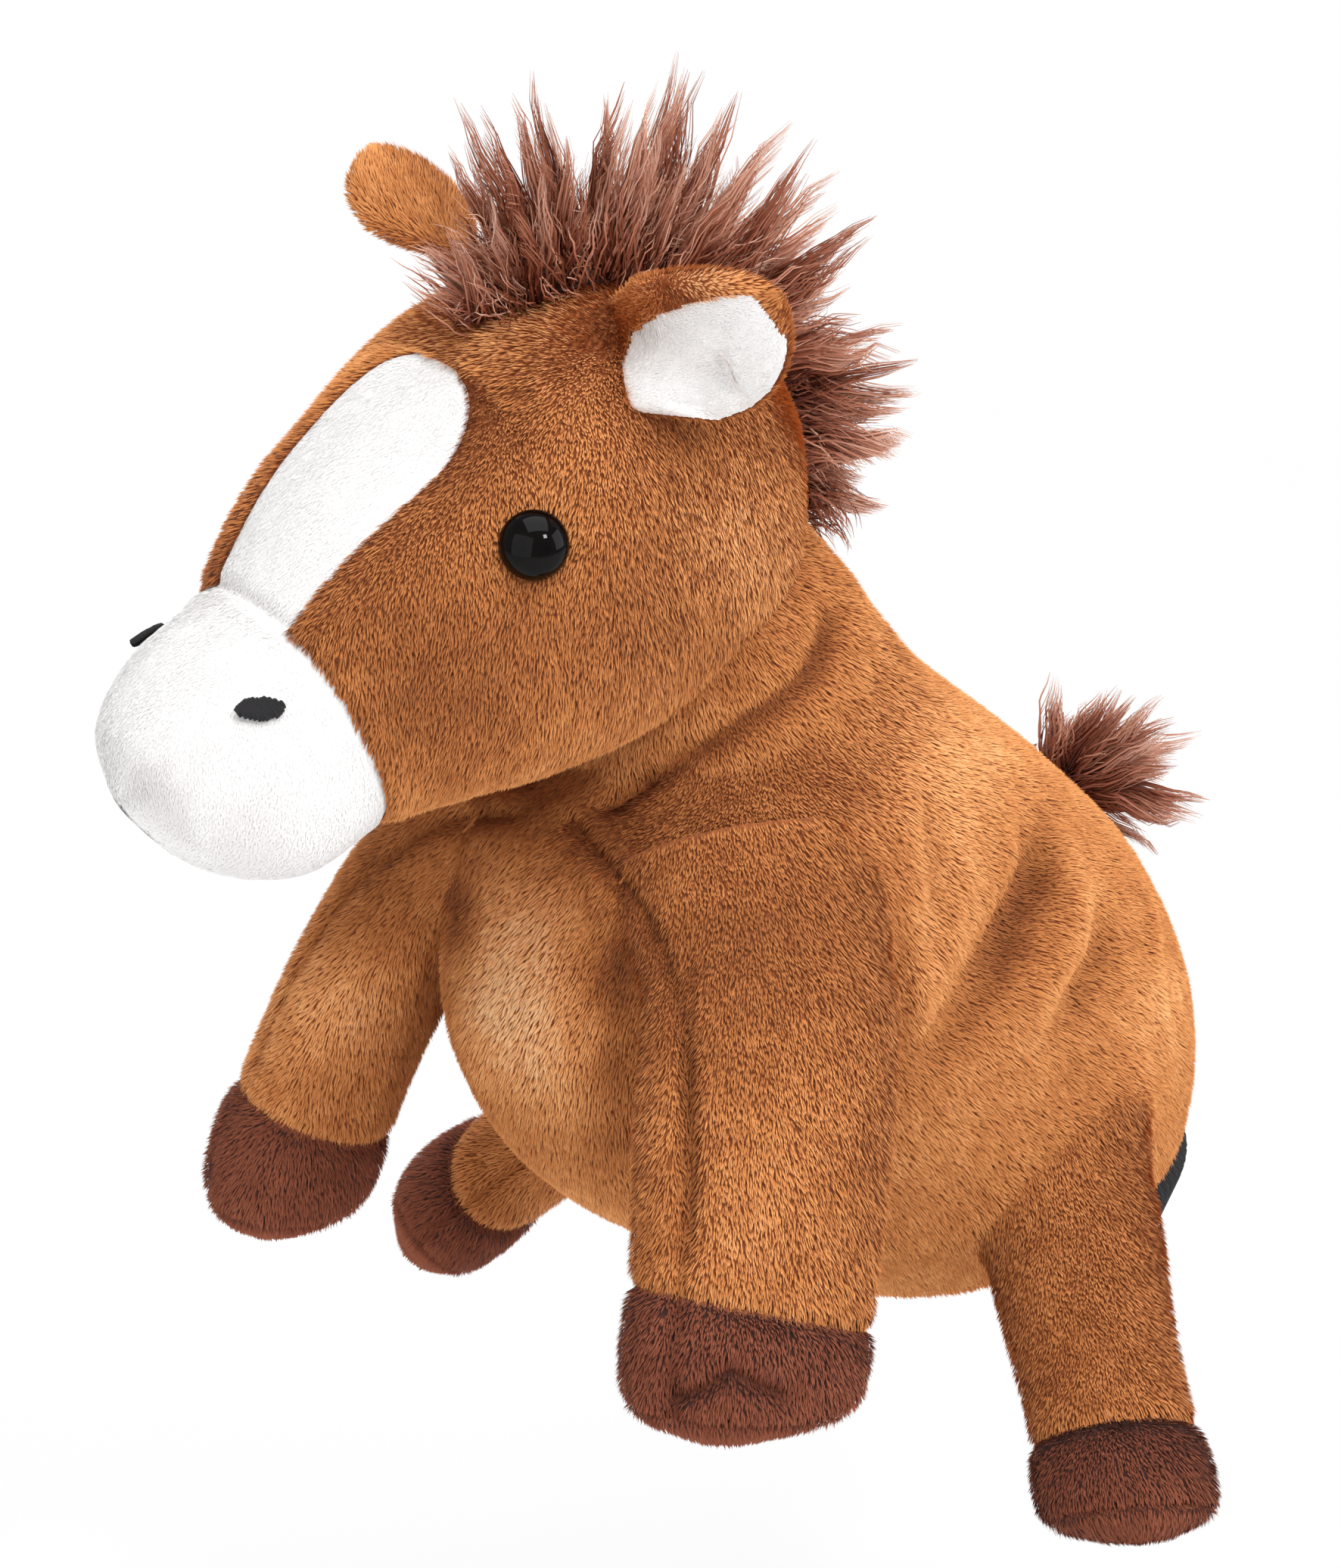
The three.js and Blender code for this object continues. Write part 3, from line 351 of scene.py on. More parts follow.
class Wire:
    """A node's socket that sums can be written with. Each operation adds a Math node."""

    def __init__(self, socket):
        self.socket = socket

    def other(self, name):
        return Wire(self.socket.node.outputs[name])

    def maths(self, operation, *values):
        graph = Graph(self.socket.id_data)
        return graph.add("ShaderNodeMath", {"operation": operation}, dict(enumerate(values)))

    def __add__(self, value):
        return self.maths("ADD", self, value)

    def __radd__(self, value):
        return self.maths("ADD", value, self)

    def __sub__(self, value):
        return self.maths("SUBTRACT", self, value)

    def __rsub__(self, value):
        return self.maths("SUBTRACT", value, self)

    def __mul__(self, value):
        return self.maths("MULTIPLY", self, value)

    def __rmul__(self, value):
        return self.maths("MULTIPLY", value, self)

    def __pow__(self, value):
        return self.maths("POWER", self, value)


class Graph:
    """A node tree with one way to add a node: its type, its settings and the values of its sockets."""

    def __init__(self, tree):
        self.tree = tree

    def add(self, kind, settings=None, sockets=None, output=0):
        node = self.tree.nodes.new(kind)
        for name, value in (settings or {}).items():
            if name == "stops":
                self.set_stops(node.color_ramp, value)
            else:
                setattr(node, name, value)
        for name, value in (sockets or {}).items():
            self.feed(node.inputs[name], value)
        return Wire(node.outputs[output]) if node.outputs else node

    def feed(self, socket, value):
        if isinstance(value, Wire):
            self.tree.links.new(value.socket, socket)
        else:
            socket.default_value = value

    def set_stops(self, ramp, stops):
        while len(ramp.elements) > 1:
            ramp.elements.remove(ramp.elements[-1])
        for i, (place, colour) in enumerate(stops):
            stop = ramp.elements[0] if i == 0 else ramp.elements.new(place)
            stop.position = place
            stop.color = colour

    def vector(self, operation, *values):
        return self.add("ShaderNodeVectorMath", {"operation": operation}, dict(enumerate(values)))

    def joined(self, *parts):
        return self.add("ShaderNodeCombineXYZ", None, dict(enumerate(parts)))

    def scaled(self, vector, scale):
        return self.add("ShaderNodeVectorMath", {"operation": "SCALE"}, {0: vector, "Scale": scale})


def tone(red, green, blue):
    """A colour as a picture shows it, from 0 to 255, as the renderer's light values."""
    parts = [c / 255 for c in (red, green, blue)]
    linear = [c / 12.92 if c <= 0.04045 else ((c + 0.055) / 1.055) ** 2.4 for c in parts]
    return (*linear, 1)


# Materials
def material(name, roughness, paint):
    """paint(graph) gives the shader's varying inputs: Base Color, and a height for the bump if it has one."""
    made = bpy.data.materials.new(name)
    made.use_nodes = True
    graph = Graph(made.node_tree)
    shader = made.node_tree.nodes["Principled BSDF"]
    shader.inputs["Roughness"].default_value = roughness
    found = paint(graph)
    bump = found.pop("bump", None)
    if bump:
        height, distance = bump
        sockets = {"Height": height, "Distance": distance * MM, "Strength": 1}
        found["Normal"] = graph.add("ShaderNodeBump", None, sockets)
    for socket, value in found.items():
        graph.feed(shader.inputs[socket], value)
    return made


def place_of(graph):
    return graph.add("ShaderNodeTexCoord", output="Object")


def noise(graph, scale, detail=2.0, vector=None, output=0):
    sockets = {"Vector": vector or place_of(graph), "Scale": scale, "Detail": detail}
    return graph.add("ShaderNodeTexNoise", None, sockets, output)


def ramp(graph, value, stops):
    return graph.add("ShaderNodeValToRGB", {"stops": stops}, {"Fac": value})


PILE_MAP = "OFBake"  # across: how light the strand is, up: from its root to its tip
MAP_SHADES, MAP_EDGE = (0.03, 0.97), 0.02  # where strands lie across the map, and its free edge


def pile_finish(name, stops, roughness=0.9, by_tip=0.5, by_shade=1.0, gloss=0.5):
    def paint(graph):
        place = graph.add("ShaderNodeUVMap", {"uv_map": PILE_MAP})
        shade = graph.add("ShaderNodeSeparateXYZ", None, {0: place})
        light = shade * by_shade + shade.other("Y") * by_tip + (0.5 - by_tip / 2 - by_shade / 2)
        return {"Base Color": ramp(graph, light, stops)}

    made = material(name, roughness, paint)
    made.node_tree.nodes["Principled BSDF"].inputs["Specular IOR Level"].default_value = gloss
    return made


def backing_finish(name, dark, light):
    """The cloth that the pile grows from."""

    def paint(graph):
        speck = noise(graph, 900)
        return {"Base Color": ramp(graph, speck, [(0.3, dark), (0.7, light)]), "bump": (speck, 0.4)}

    return material(name, 0.95, paint)


def cloth_finish(name, dark, light, threads):
    """A plain weave, with so many threads to a metre."""

    def paint(graph):
        place = place_of(graph)
        sockets = {"Vector": place, "Scale": threads / 2, "Distortion": 0.6}
        warp = graph.add("ShaderNodeTexWave", {"bands_direction": "DIAGONAL"}, sockets, output="Fac")
        mottle = noise(graph, 60, 3.0, place)
        colour = ramp(graph, mottle * 0.6 + warp * 0.4, [(0.25, dark), (0.75, light)])
        return {"Base Color": colour, "Roughness": 0.75 + 0.2 * mottle, "bump": (warp, 0.15)}

    return material(name, 0.9, paint)


def eye_finish():
    def paint(graph):
        speck = noise(graph, 400)
        colour = ramp(graph, speck, [(0.3, tone(4, 3, 3)), (0.8, tone(14, 10, 9))])
        return {"Base Color": colour, "Roughness": 0.03 + 0.04 * speck}

    made = material("black glossy eye", 0.08, paint)
    made.node_tree.nodes["Principled BSDF"].inputs["Specular IOR Level"].default_value = 0.12
    return made


def plastic_finish():
    def paint(graph):
        speck = noise(graph, 150)
        colour = ramp(graph, speck, [(0.3, tone(205, 205, 200)), (0.7, tone(222, 222, 218))])
        return {"Base Color": colour, "bump": (speck, 0.05)}

    return material("white moulded plastic", 0.45, paint)


def fibre_finish():
    def paint(graph):
        fluff = noise(graph, 350, 5.0)
        colour = ramp(graph, fluff, [(0.3, tone(205, 200, 190)), (0.7, tone(238, 235, 228))])
        return {"Base Color": colour, "bump": (fluff, 1.5)}

    return material("white fibre filling", 0.95, paint)


BROWN_STOPS = [
    (0.0, tone(98, 48, 18)),
    (0.3, tone(163, 93, 44)),
    (0.55, tone(206, 132, 70)),
    (0.8, tone(238, 173, 109)),
    (1.0, tone(250, 208, 156)),
]
HOOF_STOPS = [
    (0.0, tone(60, 25, 16)),
    (0.45, tone(128, 66, 43)),
    (0.75, tone(158, 90, 62)),
    (1.0, tone(192, 130, 98)),
]
HAIR_STOPS = [
    (0.0, tone(38, 10, 4)),
    (0.22, tone(90, 37, 21)),
    (0.45, tone(142, 80, 56)),
    (0.65, tone(180, 120, 96)),
    (0.85, tone(208, 160, 138)),
    (1.0, tone(226, 190, 172)),
]
WHITE_STOPS = [(0.0, tone(214, 206, 202)), (0.4, tone(239, 238, 237)), (1.0, tone(247, 247, 246))]

brown_pile = pile_finish("brown short pile", BROWN_STOPS, by_tip=0.4)
hoof_pile = pile_finish("dark brown short pile", HOOF_STOPS, by_tip=0.4)
hair_pile = pile_finish("dark brown long pile", HAIR_STOPS, roughness=0.6, by_tip=0.6, gloss=0.2)
white_pile = pile_finish("white short pile", WHITE_STOPS, by_tip=0.3, by_shade=0.5)
brown_backing = backing_finish("brown plush backing", tone(120, 62, 28), tone(168, 98, 50))
hoof_backing = backing_finish("dark brown plush backing", tone(54, 27, 22), tone(84, 47, 37))
hair_backing = backing_finish("dark brown hair backing", tone(46, 18, 9), tone(72, 33, 20))
white_backing = backing_finish("white plush backing", tone(232, 229, 227), tone(245, 244, 243))
black_lining = cloth_finish("black lining cloth", tone(16, 16, 19), tone(38, 38, 43), 2400)
black_knit = cloth_finish("black knitted band", tone(13, 13, 16), tone(36, 35, 40), 1500)
black_thread = cloth_finish("black satin thread", tone(14, 13, 15), tone(52, 49, 53), 5200)
glossy_eye = eye_finish()
white_plastic = plastic_finish()
white_fibre = fibre_finish()


# Meshes
def mesh_object(name, points, faces, finish, attributes=None):
    """Points in millimetres. attributes: name to an array of a number or a vector for each point."""
    mesh = bpy.data.meshes.new(name)
    mesh.from_pydata((np.asarray(points) * MM).tolist(), [], faces)
    for key, values in (attributes or {}).items():
        values = np.asarray(values, np.float32)
        kind, field = ("FLOAT_VECTOR", "vector") if values.ndim == 2 else ("FLOAT", "value")
        mesh.attributes.new(key, kind, "POINT").data.foreach_set(field, values.ravel())
    mesh.shade_smooth()
    mesh.materials.append(finish)
    made = bpy.data.objects.new(name, mesh)
    bpy.context.collection.objects.link(made)
    return made


class Skin:
    """A grid of points, rows along a form by columns round it, that can be pressed in and pulled out."""

    def __init__(self, points, middle, sunk=PILE_RISE):
        self.points = np.array(points)
        self.sign = np.sign(np.sum(self.raw_normals() * (self.points - middle)))
        self.shade = np.zeros(self.points.shape[:2])
        self.bare = np.zeros(self.points.shape[:2])
        self.nap = None
        self.push(np.full(self.points.shape[:2], -sunk))

    def raw_normals(self):
        sideways = np.roll(self.points, -1, 1) - np.roll(self.points, 1, 1)
        n = np.cross(sideways, np.gradient(self.points, axis=0))
        return n / np.maximum(np.linalg.norm(n, axis=-1, keepdims=True), 1e-9)

    def normals(self):
        return self.raw_normals() * self.sign

    def onward(self):
        return unit(np.gradient(self.points, axis=0) + 1e-9)

    def push(self, distance):
        self.points += self.normals() * distance[..., None]

    def quads(self):
        rows, columns = self.points.shape[:2]
        i, k = np.meshgrid(np.arange(rows - 1), np.arange(columns), indexing="ij")
        here, beside = i * columns + k, i * columns + (k + 1) % columns
        quad = np.stack([here, beside, beside + columns, here + columns], -1)
        return quad if self.sign > 0 else quad[..., ::-1]

    def closed(self):
        """All faces, with both ends closed."""
        return self.quads().reshape(-1, 4).tolist() + [self.end(0), self.end(len(self.points) - 1)]

    def tree(self):
        return BVHTree.FromPolygons(self.points.reshape(-1, 3).tolist(), self.closed())

    def end(self, row):
        columns = self.points.shape[1]
        loop = (row * columns + np.arange(columns)).tolist()
        return loop if (row == 0) == (self.sign < 0) else loop[::-1]

    def piece(self, name, finish, keep=None, ends=()):
        """The faces where keep is true, with the end rows named in ends closed."""
        quads = self.quads()
        faces = (quads if keep is None else quads[keep]).reshape(-1, 4).tolist()
        faces += [self.end(row) for row in ends]
        used, again = np.unique(np.concatenate([np.ravel(f) for f in faces]), return_inverse=True)
        counts = np.cumsum([0] + [len(f) for f in faces])
        faces = [again[a:b].tolist() for a, b in zip(counts, counts[1:])]
        flat = {
            "nap": (self.onward() if self.nap is None else self.nap).reshape(-1, 3)[used],
            "shade": self.shade.ravel()[used],
            "pile": 1 - self.bare.ravel()[used],
        }
        return mesh_object(name, self.points.reshape(-1, 3)[used], faces, finish, flat)


RAY = Vector((0.31, 0.52, 0.79)).normalized()
RAY_STEP = 1e-3  # past a face that the ray has met


def encloses(tree, point):
    """Whether a point is inside a closed skin: a ray from there then meets an odd count of faces."""
    odd = False
    hit = tree.ray_cast(point, RAY)[0]
    while hit is not None:
        odd = not odd
        hit = tree.ray_cast(hit + RAY * RAY_STEP, RAY)[0]
    return odd


def distance_to(tree, points, reach):
    """How far points lie outside a closed skin, less than 0 inside it, and reach where it is further."""
    flat = points.reshape(-1, 3)
    out = np.full(len(flat), float(reach))
    for i, p in enumerate(flat.tolist()):
        place, normal, _, d = tree.find_nearest(p)
        if place is None:
            continue
        inside = (Vector(p) - place).dot(normal) < 0 and encloses(tree, Vector(p))
        out[i] = -d if inside else min(d, reach)
    return out.reshape(points.shape[:-1])


BARE = (-1.5, -2.5)  # the pile of a skin ends over these depths inside another
FILLET_HEIGHTS = (-20, 6)  # a leg's fillet widens between these heights above its joint
FILLET_RISE = 0.25  # of a fillet where the skins meet, as a share of its reach


def meet(skin, tree, fillet):
    """Pulls a skin out into the corner it makes with another, and bares what lies inside that."""
    d = distance_to(tree, skin.points, np.max(fillet))
    near = (d > 0) & (d < fillet)
    skin.bare = np.maximum(skin.bare, smooth(*BARE, d))
    skin.push(np.where(near, FILLET_RISE * fillet * (1 - d / fillet) ** 2, 0))


def fillet_at(points, name):
    """Reach of the fillet round a leg's root, wide above it and narrow below."""
    low, high = leg_of(name)["fillet"]
    height = points[..., 2] - leg_pivot(leg_of(name), name.split("_")[1])[2]
    return low + (high - low) * smooth(*FILLET_HEIGHTS, height)


def leg_of(name):
    return FORELEG if "fore" in name else HINDLEG


def nearest_on(line, places):
    """How far places lie from a line of points, and their share of the way along it."""
    away = np.full(places.shape[:-1], np.inf)
    share = np.zeros(away.shape)
    for i, (start, end) in enumerate(zip(line, line[1:])):
        step = end - start
        t = np.clip((places - start) @ step / (step @ step), 0, 1)
        d = np.linalg.norm(places - start - t[..., None] * step, axis=-1)
        share = np.where(d < away, (i + t) / (len(line) - 1), share)
        away = np.minimum(away, d)
    return away, share


FOLD_STEPS, CREASE_STEPS = 25, 40  # points along a drawn line
CREASE_FADE = 0.12  # share of a crease's line over which it deepens at each end
NEAR_EDGE, MIRROR_EDGE = (-6, 4), (6, 16)  # creases begin over this way across the middle


def fold_depth(points, folds, size=1):
    """How deep folds of the torso press at points of it, alike on both sides."""
    places = np.concatenate([np.abs(points[..., :1]), points[..., 1:]], -1)
    total = np.zeros(points.shape[:-1])
    for line, depth, half in folds:
        along, angle = np.array(line).T
        way = spline(torso.at(along, np.radians(angle)), np.linspace(0, 1, FOLD_STEPS))
        away, share = nearest_on(way, places)
        fade = smooth(0, FOLD_FADE, np.minimum(share, 1 - share))
        total += size * depth * fade * bell(away, size * half)
    return total


FOLD_SHADE, CREASE_SHADE = 0.035, 0.1  # painted shade: how much darker the plush is painted for each millimetre of depth, and lighter on swells


# Folds press in with painted shade in them, and swells, of less than no depth, stand out with painted light
def press(skin, folds):
    depth = fold_depth(skin.points, folds)
    skin.push(-depth)
    skin.shade -= FOLD_SHADE * depth


FACING = (0.0, 0.3)  # a drawn line or shade begins where a skin turns to the picture by this much


def seen(skin, mirrored):
    """Where a skin's points, or their mirror images, lie in the picture, and how much they face it."""
    flip = np.array((-1, 1, 1)) if mirrored else np.ones(3)
    towards = target + view_back * CAMERA["distance"] - skin.points * flip
    facing = np.sum(unit(towards) * skin.normals() * flip, -1)
    return pixels(skin.points * flip), smooth(*FACING, facing)


def applies(part, name, mirrored):
    """Whether what is listed for a part holds for a skin. What names a side holds for that side alone."""
    one_side = part.endswith(("left", "right"))
    return part in name and not (mirrored and one_side)


def paint_light_and_shade(name, skin, mirrored):
    """Paints light and shade into the plush's colour round the listed places: painted sheen, highlights and
    shadows.
    """
    places, facing = seen(skin, mirrored)
    for place, reach, shade, part in PAINTED_LIGHT_AND_SHADE:
        if not applies(part, name, mirrored):
            continue
        away = np.linalg.norm(places - np.array(place), axis=-1) / PIXELS_PER_MM
        skin.shade += shade * facing * bell(away, reach)


def crease(name, skin, mirrored):
    """Presses in the lines that CREASES lists, with painted shade along them."""
    places, facing = seen(skin, mirrored)
    x = -skin.points[..., 0] if mirrored else skin.points[..., 0]
    facing = facing * smooth(*(MIRROR_EDGE if mirrored else NEAR_EDGE), x)
    total = np.zeros(places.shape[:-1])
    for line, depth, half, part in CREASES:
        if not applies(part, name, mirrored):
            continue
        away, share = nearest_on(spline(line, np.linspace(0, 1, CREASE_STEPS)), places)
        fade = facing * smooth(0, CREASE_FADE, np.minimum(share, 1 - share))
        total += depth * fade * bell(away / PIXELS_PER_MM, half)
    skin.push(-total)
    skin.shade -= CREASE_SHADE * total


def sew(skin, *seams, swell=0):
    """Presses in seams, with painted shade in their grooves: each its values, how far points lie from it, and
    where it runs.
    """
    total = np.zeros(skin.points.shape[:2])
    for (depth, half, shade), away, where in seams:
        line = bell(away, half) * where
        total += depth * line
        skin.shade -= shade * line
    skin.push(swell - total)


# Skins
NECK_ROWS, TORSO_ROWS, TORSO_COLUMNS = 26, 170, 240
LEG_ROWS, HOOF_ROWS, LEG_COLUMNS = 61, 42, 96
HEAD_ROWS, HEAD_ENDS = (90, 46, 62), (0.012, 0.992)
BLAZE_COLUMNS, SIDE_COLUMNS = 16, 84
EAR_ROWS, EAR_COLUMNS = 46, 44  # rows from root to tip, and columns across each face


def hem_at(angles):
    return 1 - torso.share(1, 1) * (HEM_FRONT + (HEM_BACK - HEM_FRONT) * (1 - np.cos(angles)) / 2)


def torso_skin():
    """The neck and the torso as one skin, from inside the head to the hem."""
    angles = around(TORSO_COLUMNS)
    rise, size = spline(NECK, np.linspace(0, 1, NECK_ROWS, endpoint=False)).T[..., None, None]
    middle = neck_rib[0] + rise * neck_axis
    neck = middle + size * (torso.at(0, angles) - neck_rib[0])
    body = hem_at(angles) * np.linspace(0, 1, TORSO_ROWS)[:, None]
    middles = np.concatenate([np.broadcast_to(middle, neck.shape), torso.centre(body)])
    skin = Skin(np.concatenate([neck, torso.at(body, angles)]), middles)
    press(skin, FOLDS)
    press(skin, SWELLS)
    sew(skin, (BACK_SEAM, np.abs(angles - np.pi) * SEAM_RADIUS["back"], 1))
    return turned_in(skin)


HEM_ROLL = ((0.9, -0.7), (1.0, -2.0), (0.2, -3.2), (-14, -3.4))  # onward and outward, in millimetres


def turned_in(skin):
    """A skin with its last edge rolled in to a hem."""
    edge, out, on = skin.points[-1], skin.normals()[-1], skin.onward()[-1]
    rows = [edge + step * on + rise * out for step, rise in HEM_ROLL]
    skin.points = np.concatenate([skin.points, rows])
    skin.shade = np.concatenate([skin.shade, np.repeat(skin.shade[-1:], len(rows), 0)])
    skin.bare = np.concatenate([skin.bare, np.ones((len(rows), edge.shape[0]))])
    skin.bare[-len(rows)] = 0
    return skin


LEG_SEAM_START = (0.05, 0.2)  # a leg's long seam begins over this share of its length
HOOF_PUFF, HOOF_PUFF_REACH = 0.3, 0.06  # rise of the hoof past its seam, and over which share of the leg


def leg_skin(name):
    leg, form = leg_of(name), legs[name]
    hoof, sole = leg["hoof"], leg["sole"]
    slant = leg["slant"][name.split("_")[1]]
    rows = np.concatenate([np.linspace(0, hoof, LEG_ROWS), np.linspace(hoof, 1, HOOF_ROWS)[1:]])[:, None]
    angles = around(LEG_COLUMNS)
    tilt = np.where(rows < hoof, rows / hoof, (1 - rows) / (1 - hoof))
    grid = rows + slant * tilt**2 * np.cos(angles)
    skin = Skin(form.at(grid, angles), form.centre(grid))
    length = 1 / form.share(0.5, 1)
    beside = np.abs(np.sin(angles - math.radians(leg["seam"]))) * SEAM_RADIUS["leg"]
    sew(
        skin,
        (LEG_SEAM, beside, smooth(*LEG_SEAM_START, rows) * (rows < sole)),
        (HOOF_SEAM, np.abs(rows - hoof) * length, 1),
        (SOLE_SEAM, np.abs(rows - sole) * length, 1),
        swell=HOOF_PUFF * smooth(hoof, hoof + HOOF_PUFF_REACH, rows),
    )
    return skin


def head_columns(along):
    """Angles of the head's columns, so that some follow the blaze's edges."""
    v = np.clip((along - BLAZE["from"]) / (MUZZLE_SEAM - BLAZE["from"]), 0, 1)
    rise = np.minimum(1, v / BLAZE["round_top"])
    edge = BLAZE["wide"] + (BLAZE["narrow"] - BLAZE["wide"]) * v
    edge = np.radians(edge) * np.sqrt(1 - (1 - rise) ** 2 * (1 - BLAZE["blunt"] ** 2))
    edge = edge[:, None]
    inner = np.linspace(0, 1, BLAZE_COLUMNS + 1)[:-1]
    outer = np.linspace(0, 1, SIDE_COLUMNS + 1)
    half = np.concatenate([edge * inner, edge + (np.pi - edge) * outer], 1)
    return np.concatenate([half, -half[:, -2:0:-1]], 1)


NOSE = {"rise": 0.7, "rings": (0.8, 0.6, 0.4, 0.2, 0.07), "back": 9}  # the dome that closes the nose
EYE_SOCKET = {"depth": 2.2, "half": 8.5, "outer": 0.4, "inner": -0.6}
NAP_SIDES = (12, 55)  # degrees from the middle over which the nap turns down
NAP_ONWARD = 0.6  # how much of it points to the nose


def head_skin():
    places = (HEAD_ENDS[0], BLAZE["from"], MUZZLE_SEAM, HEAD_ENDS[1])
    spans = [np.linspace(*ends, count) for *ends, count in zip(places, places[1:], HEAD_ROWS)]
    rows = np.concatenate([spans[0], spans[1][1:], spans[2][1:]])
    angles = head_columns(rows)
    grid = np.broadcast_to(rows[:, None], angles.shape)
    points, middles = head.at(grid, angles), head.centre(grid)
    tip, way = middles[-1], unit(middles[-1] - middles[-2])
    ring = points[-1] - tip
    dome = [tip + ring * share + NOSE["rise"] * (1 - share**2) * way for share in NOSE["rings"]]
    extra = len(dome)
    rows = np.concatenate([rows, np.linspace(rows[-1], 1, extra + 1)[1:]])
    angles = np.concatenate([angles, np.repeat(angles[-1:], extra, 0)])
    middles = np.concatenate([middles, np.repeat(middles[-1:] - NOSE["back"] * way, extra, 0)])
    skin = Skin(np.concatenate([points, dome]), middles)
    skin.rows = rows
    rows = rows[:, None]
    across = np.abs((angles + np.pi) % (2 * np.pi) - np.pi)
    full = BRIDGE["rise"] * bell(rows - BRIDGE["along"], BRIDGE["reach"])
    skin.push(full * smooth(BRIDGE["edge"], BRIDGE["flat"], np.degrees(across)))
    edge = np.abs(across - angles[:, [BLAZE_COLUMNS]])
    sew(
        skin,
        (MUZZLE_EDGE, np.abs(rows - MUZZLE_SEAM) / head.share(MUZZLE_SEAM, 1), 1),
        (JAW_SEAM, (np.pi - across) * SEAM_RADIUS["jaw"], rows < MUZZLE_SEAM),
        (CROWN_SEAM, across * SEAM_RADIUS["crown"], rows < BLAZE["from"]),
        (BLAZE_EDGE, edge * SEAM_RADIUS["blaze"], (rows > BLAZE["from"]) & (rows < MUZZLE_SEAM)),
    )
    radius = EYE["radius"]
    for s in SIDES.values():
        eye = head.at(EYE["along"], s * math.radians(EYE["angle"]))
        away = np.linalg.norm(skin.points - eye, axis=-1)
        skin.push(-EYE_SOCKET["depth"] * bell(away, EYE_SOCKET["half"]))
        bare = smooth(radius + EYE_SOCKET["outer"], radius + EYE_SOCKET["inner"], away)
        skin.bare = np.maximum(skin.bare, bare)
    down = np.roll(skin.points, -1, 1) - np.roll(skin.points, 1, 1)
    down[:, down.shape[1] // 2 :] *= -1
    beside = smooth(*NAP_SIDES, np.degrees(across))[..., None]
    skin.nap = unit(NAP_ONWARD * skin.onward() + beside * unit(down + 1e-9))
    return skin


def ear_frame(side):
    """Root of an ear, the way it points, the way its hollow looks, and across it."""
    out = unit(EAR_OUT[side])
    face = np.array(EAR_FACE[side])
    face = unit(face - out * (face @ out))
    root = head.at(EAR["along"], SIDES[side] * math.radians(EAR["angle"]))
    return [root] + [head_place[:3, :3] @ v for v in (out, face, np.cross(face, out))]


def ear_skin(side):
    """An ear that is sewn on along a line that follows the head, and curls to its own form away from it."""
    s = SIDES[side]
    root, out, face, across = ear_frame(side)
    v = np.linspace(0, 1, EAR_ROWS)[:, None]
    u = np.linspace(-1, 1, EAR_COLUMNS)
    u = np.concatenate([u, u[-2:0:-1]])
    inner = np.arange(len(u)) < EAR_COLUMNS
    tip = np.maximum(0, v - EAR_SHAPE["taper"]) / (1 - EAR_SHAPE["taper"] + EAR_SHAPE["blunt"])
    half = np.where(s * u < 0, *EAR_HALF[side])
    width = EAR["root"] + (half - EAR["root"]) * np.minimum(1, v / EAR_SHAPE["flare"])
    width = width * np.sqrt(np.maximum(1 - tip**2, EAR_SHAPE["least"]))
    curl = math.radians(EAR["cup"])
    turn = u * curl

    def grid(x):
        return np.broadcast_to(x, (EAR_ROWS, len(u)))[..., None]

    def curled(half_width):
        radius = half_width / curl
        return grid(radius * np.sin(turn)) * across + grid(radius * (1 - np.cos(turn))) * face

    angle = np.radians(EAR["angle"] - EAR_LINE["span"] * s * u)
    sewn = head.at(EAR["along"] + EAR_LINE["shear"] * s * u, s * angle) - root - curled(EAR["root"])
    length = EAR["length"] * v - EAR["sunk"] * (1 - v)
    middle = root + grid(length) * out + curled(width) + grid(bell(v, EAR_LINE["reach"])) * sewn
    towards = grid(np.cos(turn)) * face - grid(np.sin(turn)) * across
    thick = EAR["thick"] * np.sqrt(1 - u ** EAR_RIM["sides"])
    thick = thick * np.sqrt(1 - EAR_RIM["thinner"] * v ** EAR_RIM["tip"])
    pad = thick + EAR["puff"] * (1 - u**2) * np.sqrt(np.sin(np.pi * v).clip(0, 1))
    return Skin(middle + grid(np.where(inner, pad, -thick)) * towards, middle, 0)


# Painted light and shade on the plush, as sheen, highlights and shadows: a place in the picture, its reach in
# millimetres, the shade and the part
PAINTED_LIGHT_AND_SHADE = [
    ((600, 900), 18, -0.25, "head"),
    ((820, 800), 14, -0.13, "head"),
    ((760, 560), 14, 0.02, "head"),
    ((720, 440), 9, 0.14, "head"),
    ((980, 700), 14, 0.2, "head"),
    ((330, 1110), 9, -0.6, "head"),
    ((900, 370), 12, 0.4, "ear_left"),
    ((1040, 800), 10, 0.04, "head"),
    ((720, 1250), 14, 0.14, "torso"),
    ((640, 1340), 12, 0.2, "torso"),
    ((800, 1130), 8, -0.1, "torso"),
    ((832, 1262), 7, -0.25, "torso"),
    ((800, 1300), 7, -0.2, "torso"),
    ((805, 1400), 6, -0.2, "torso"),
    ((815, 1500), 6, -0.15, "torso"),
    ((1000, 1200), 20, -0.14, ""),
    ((1000, 1620), 12, 0.08, "foreleg"),
    ((430, 1330), 14, 0.18, "foreleg_right"),
    ((1480, 1350), 14, 0.03, "torso"),
    ((1545, 1300), 6, 0.15, "torso"),
    ((1250, 1000), 14, 0.2, "torso"),
    ((1440, 1750), 12, -0.02, "hindleg"),
]
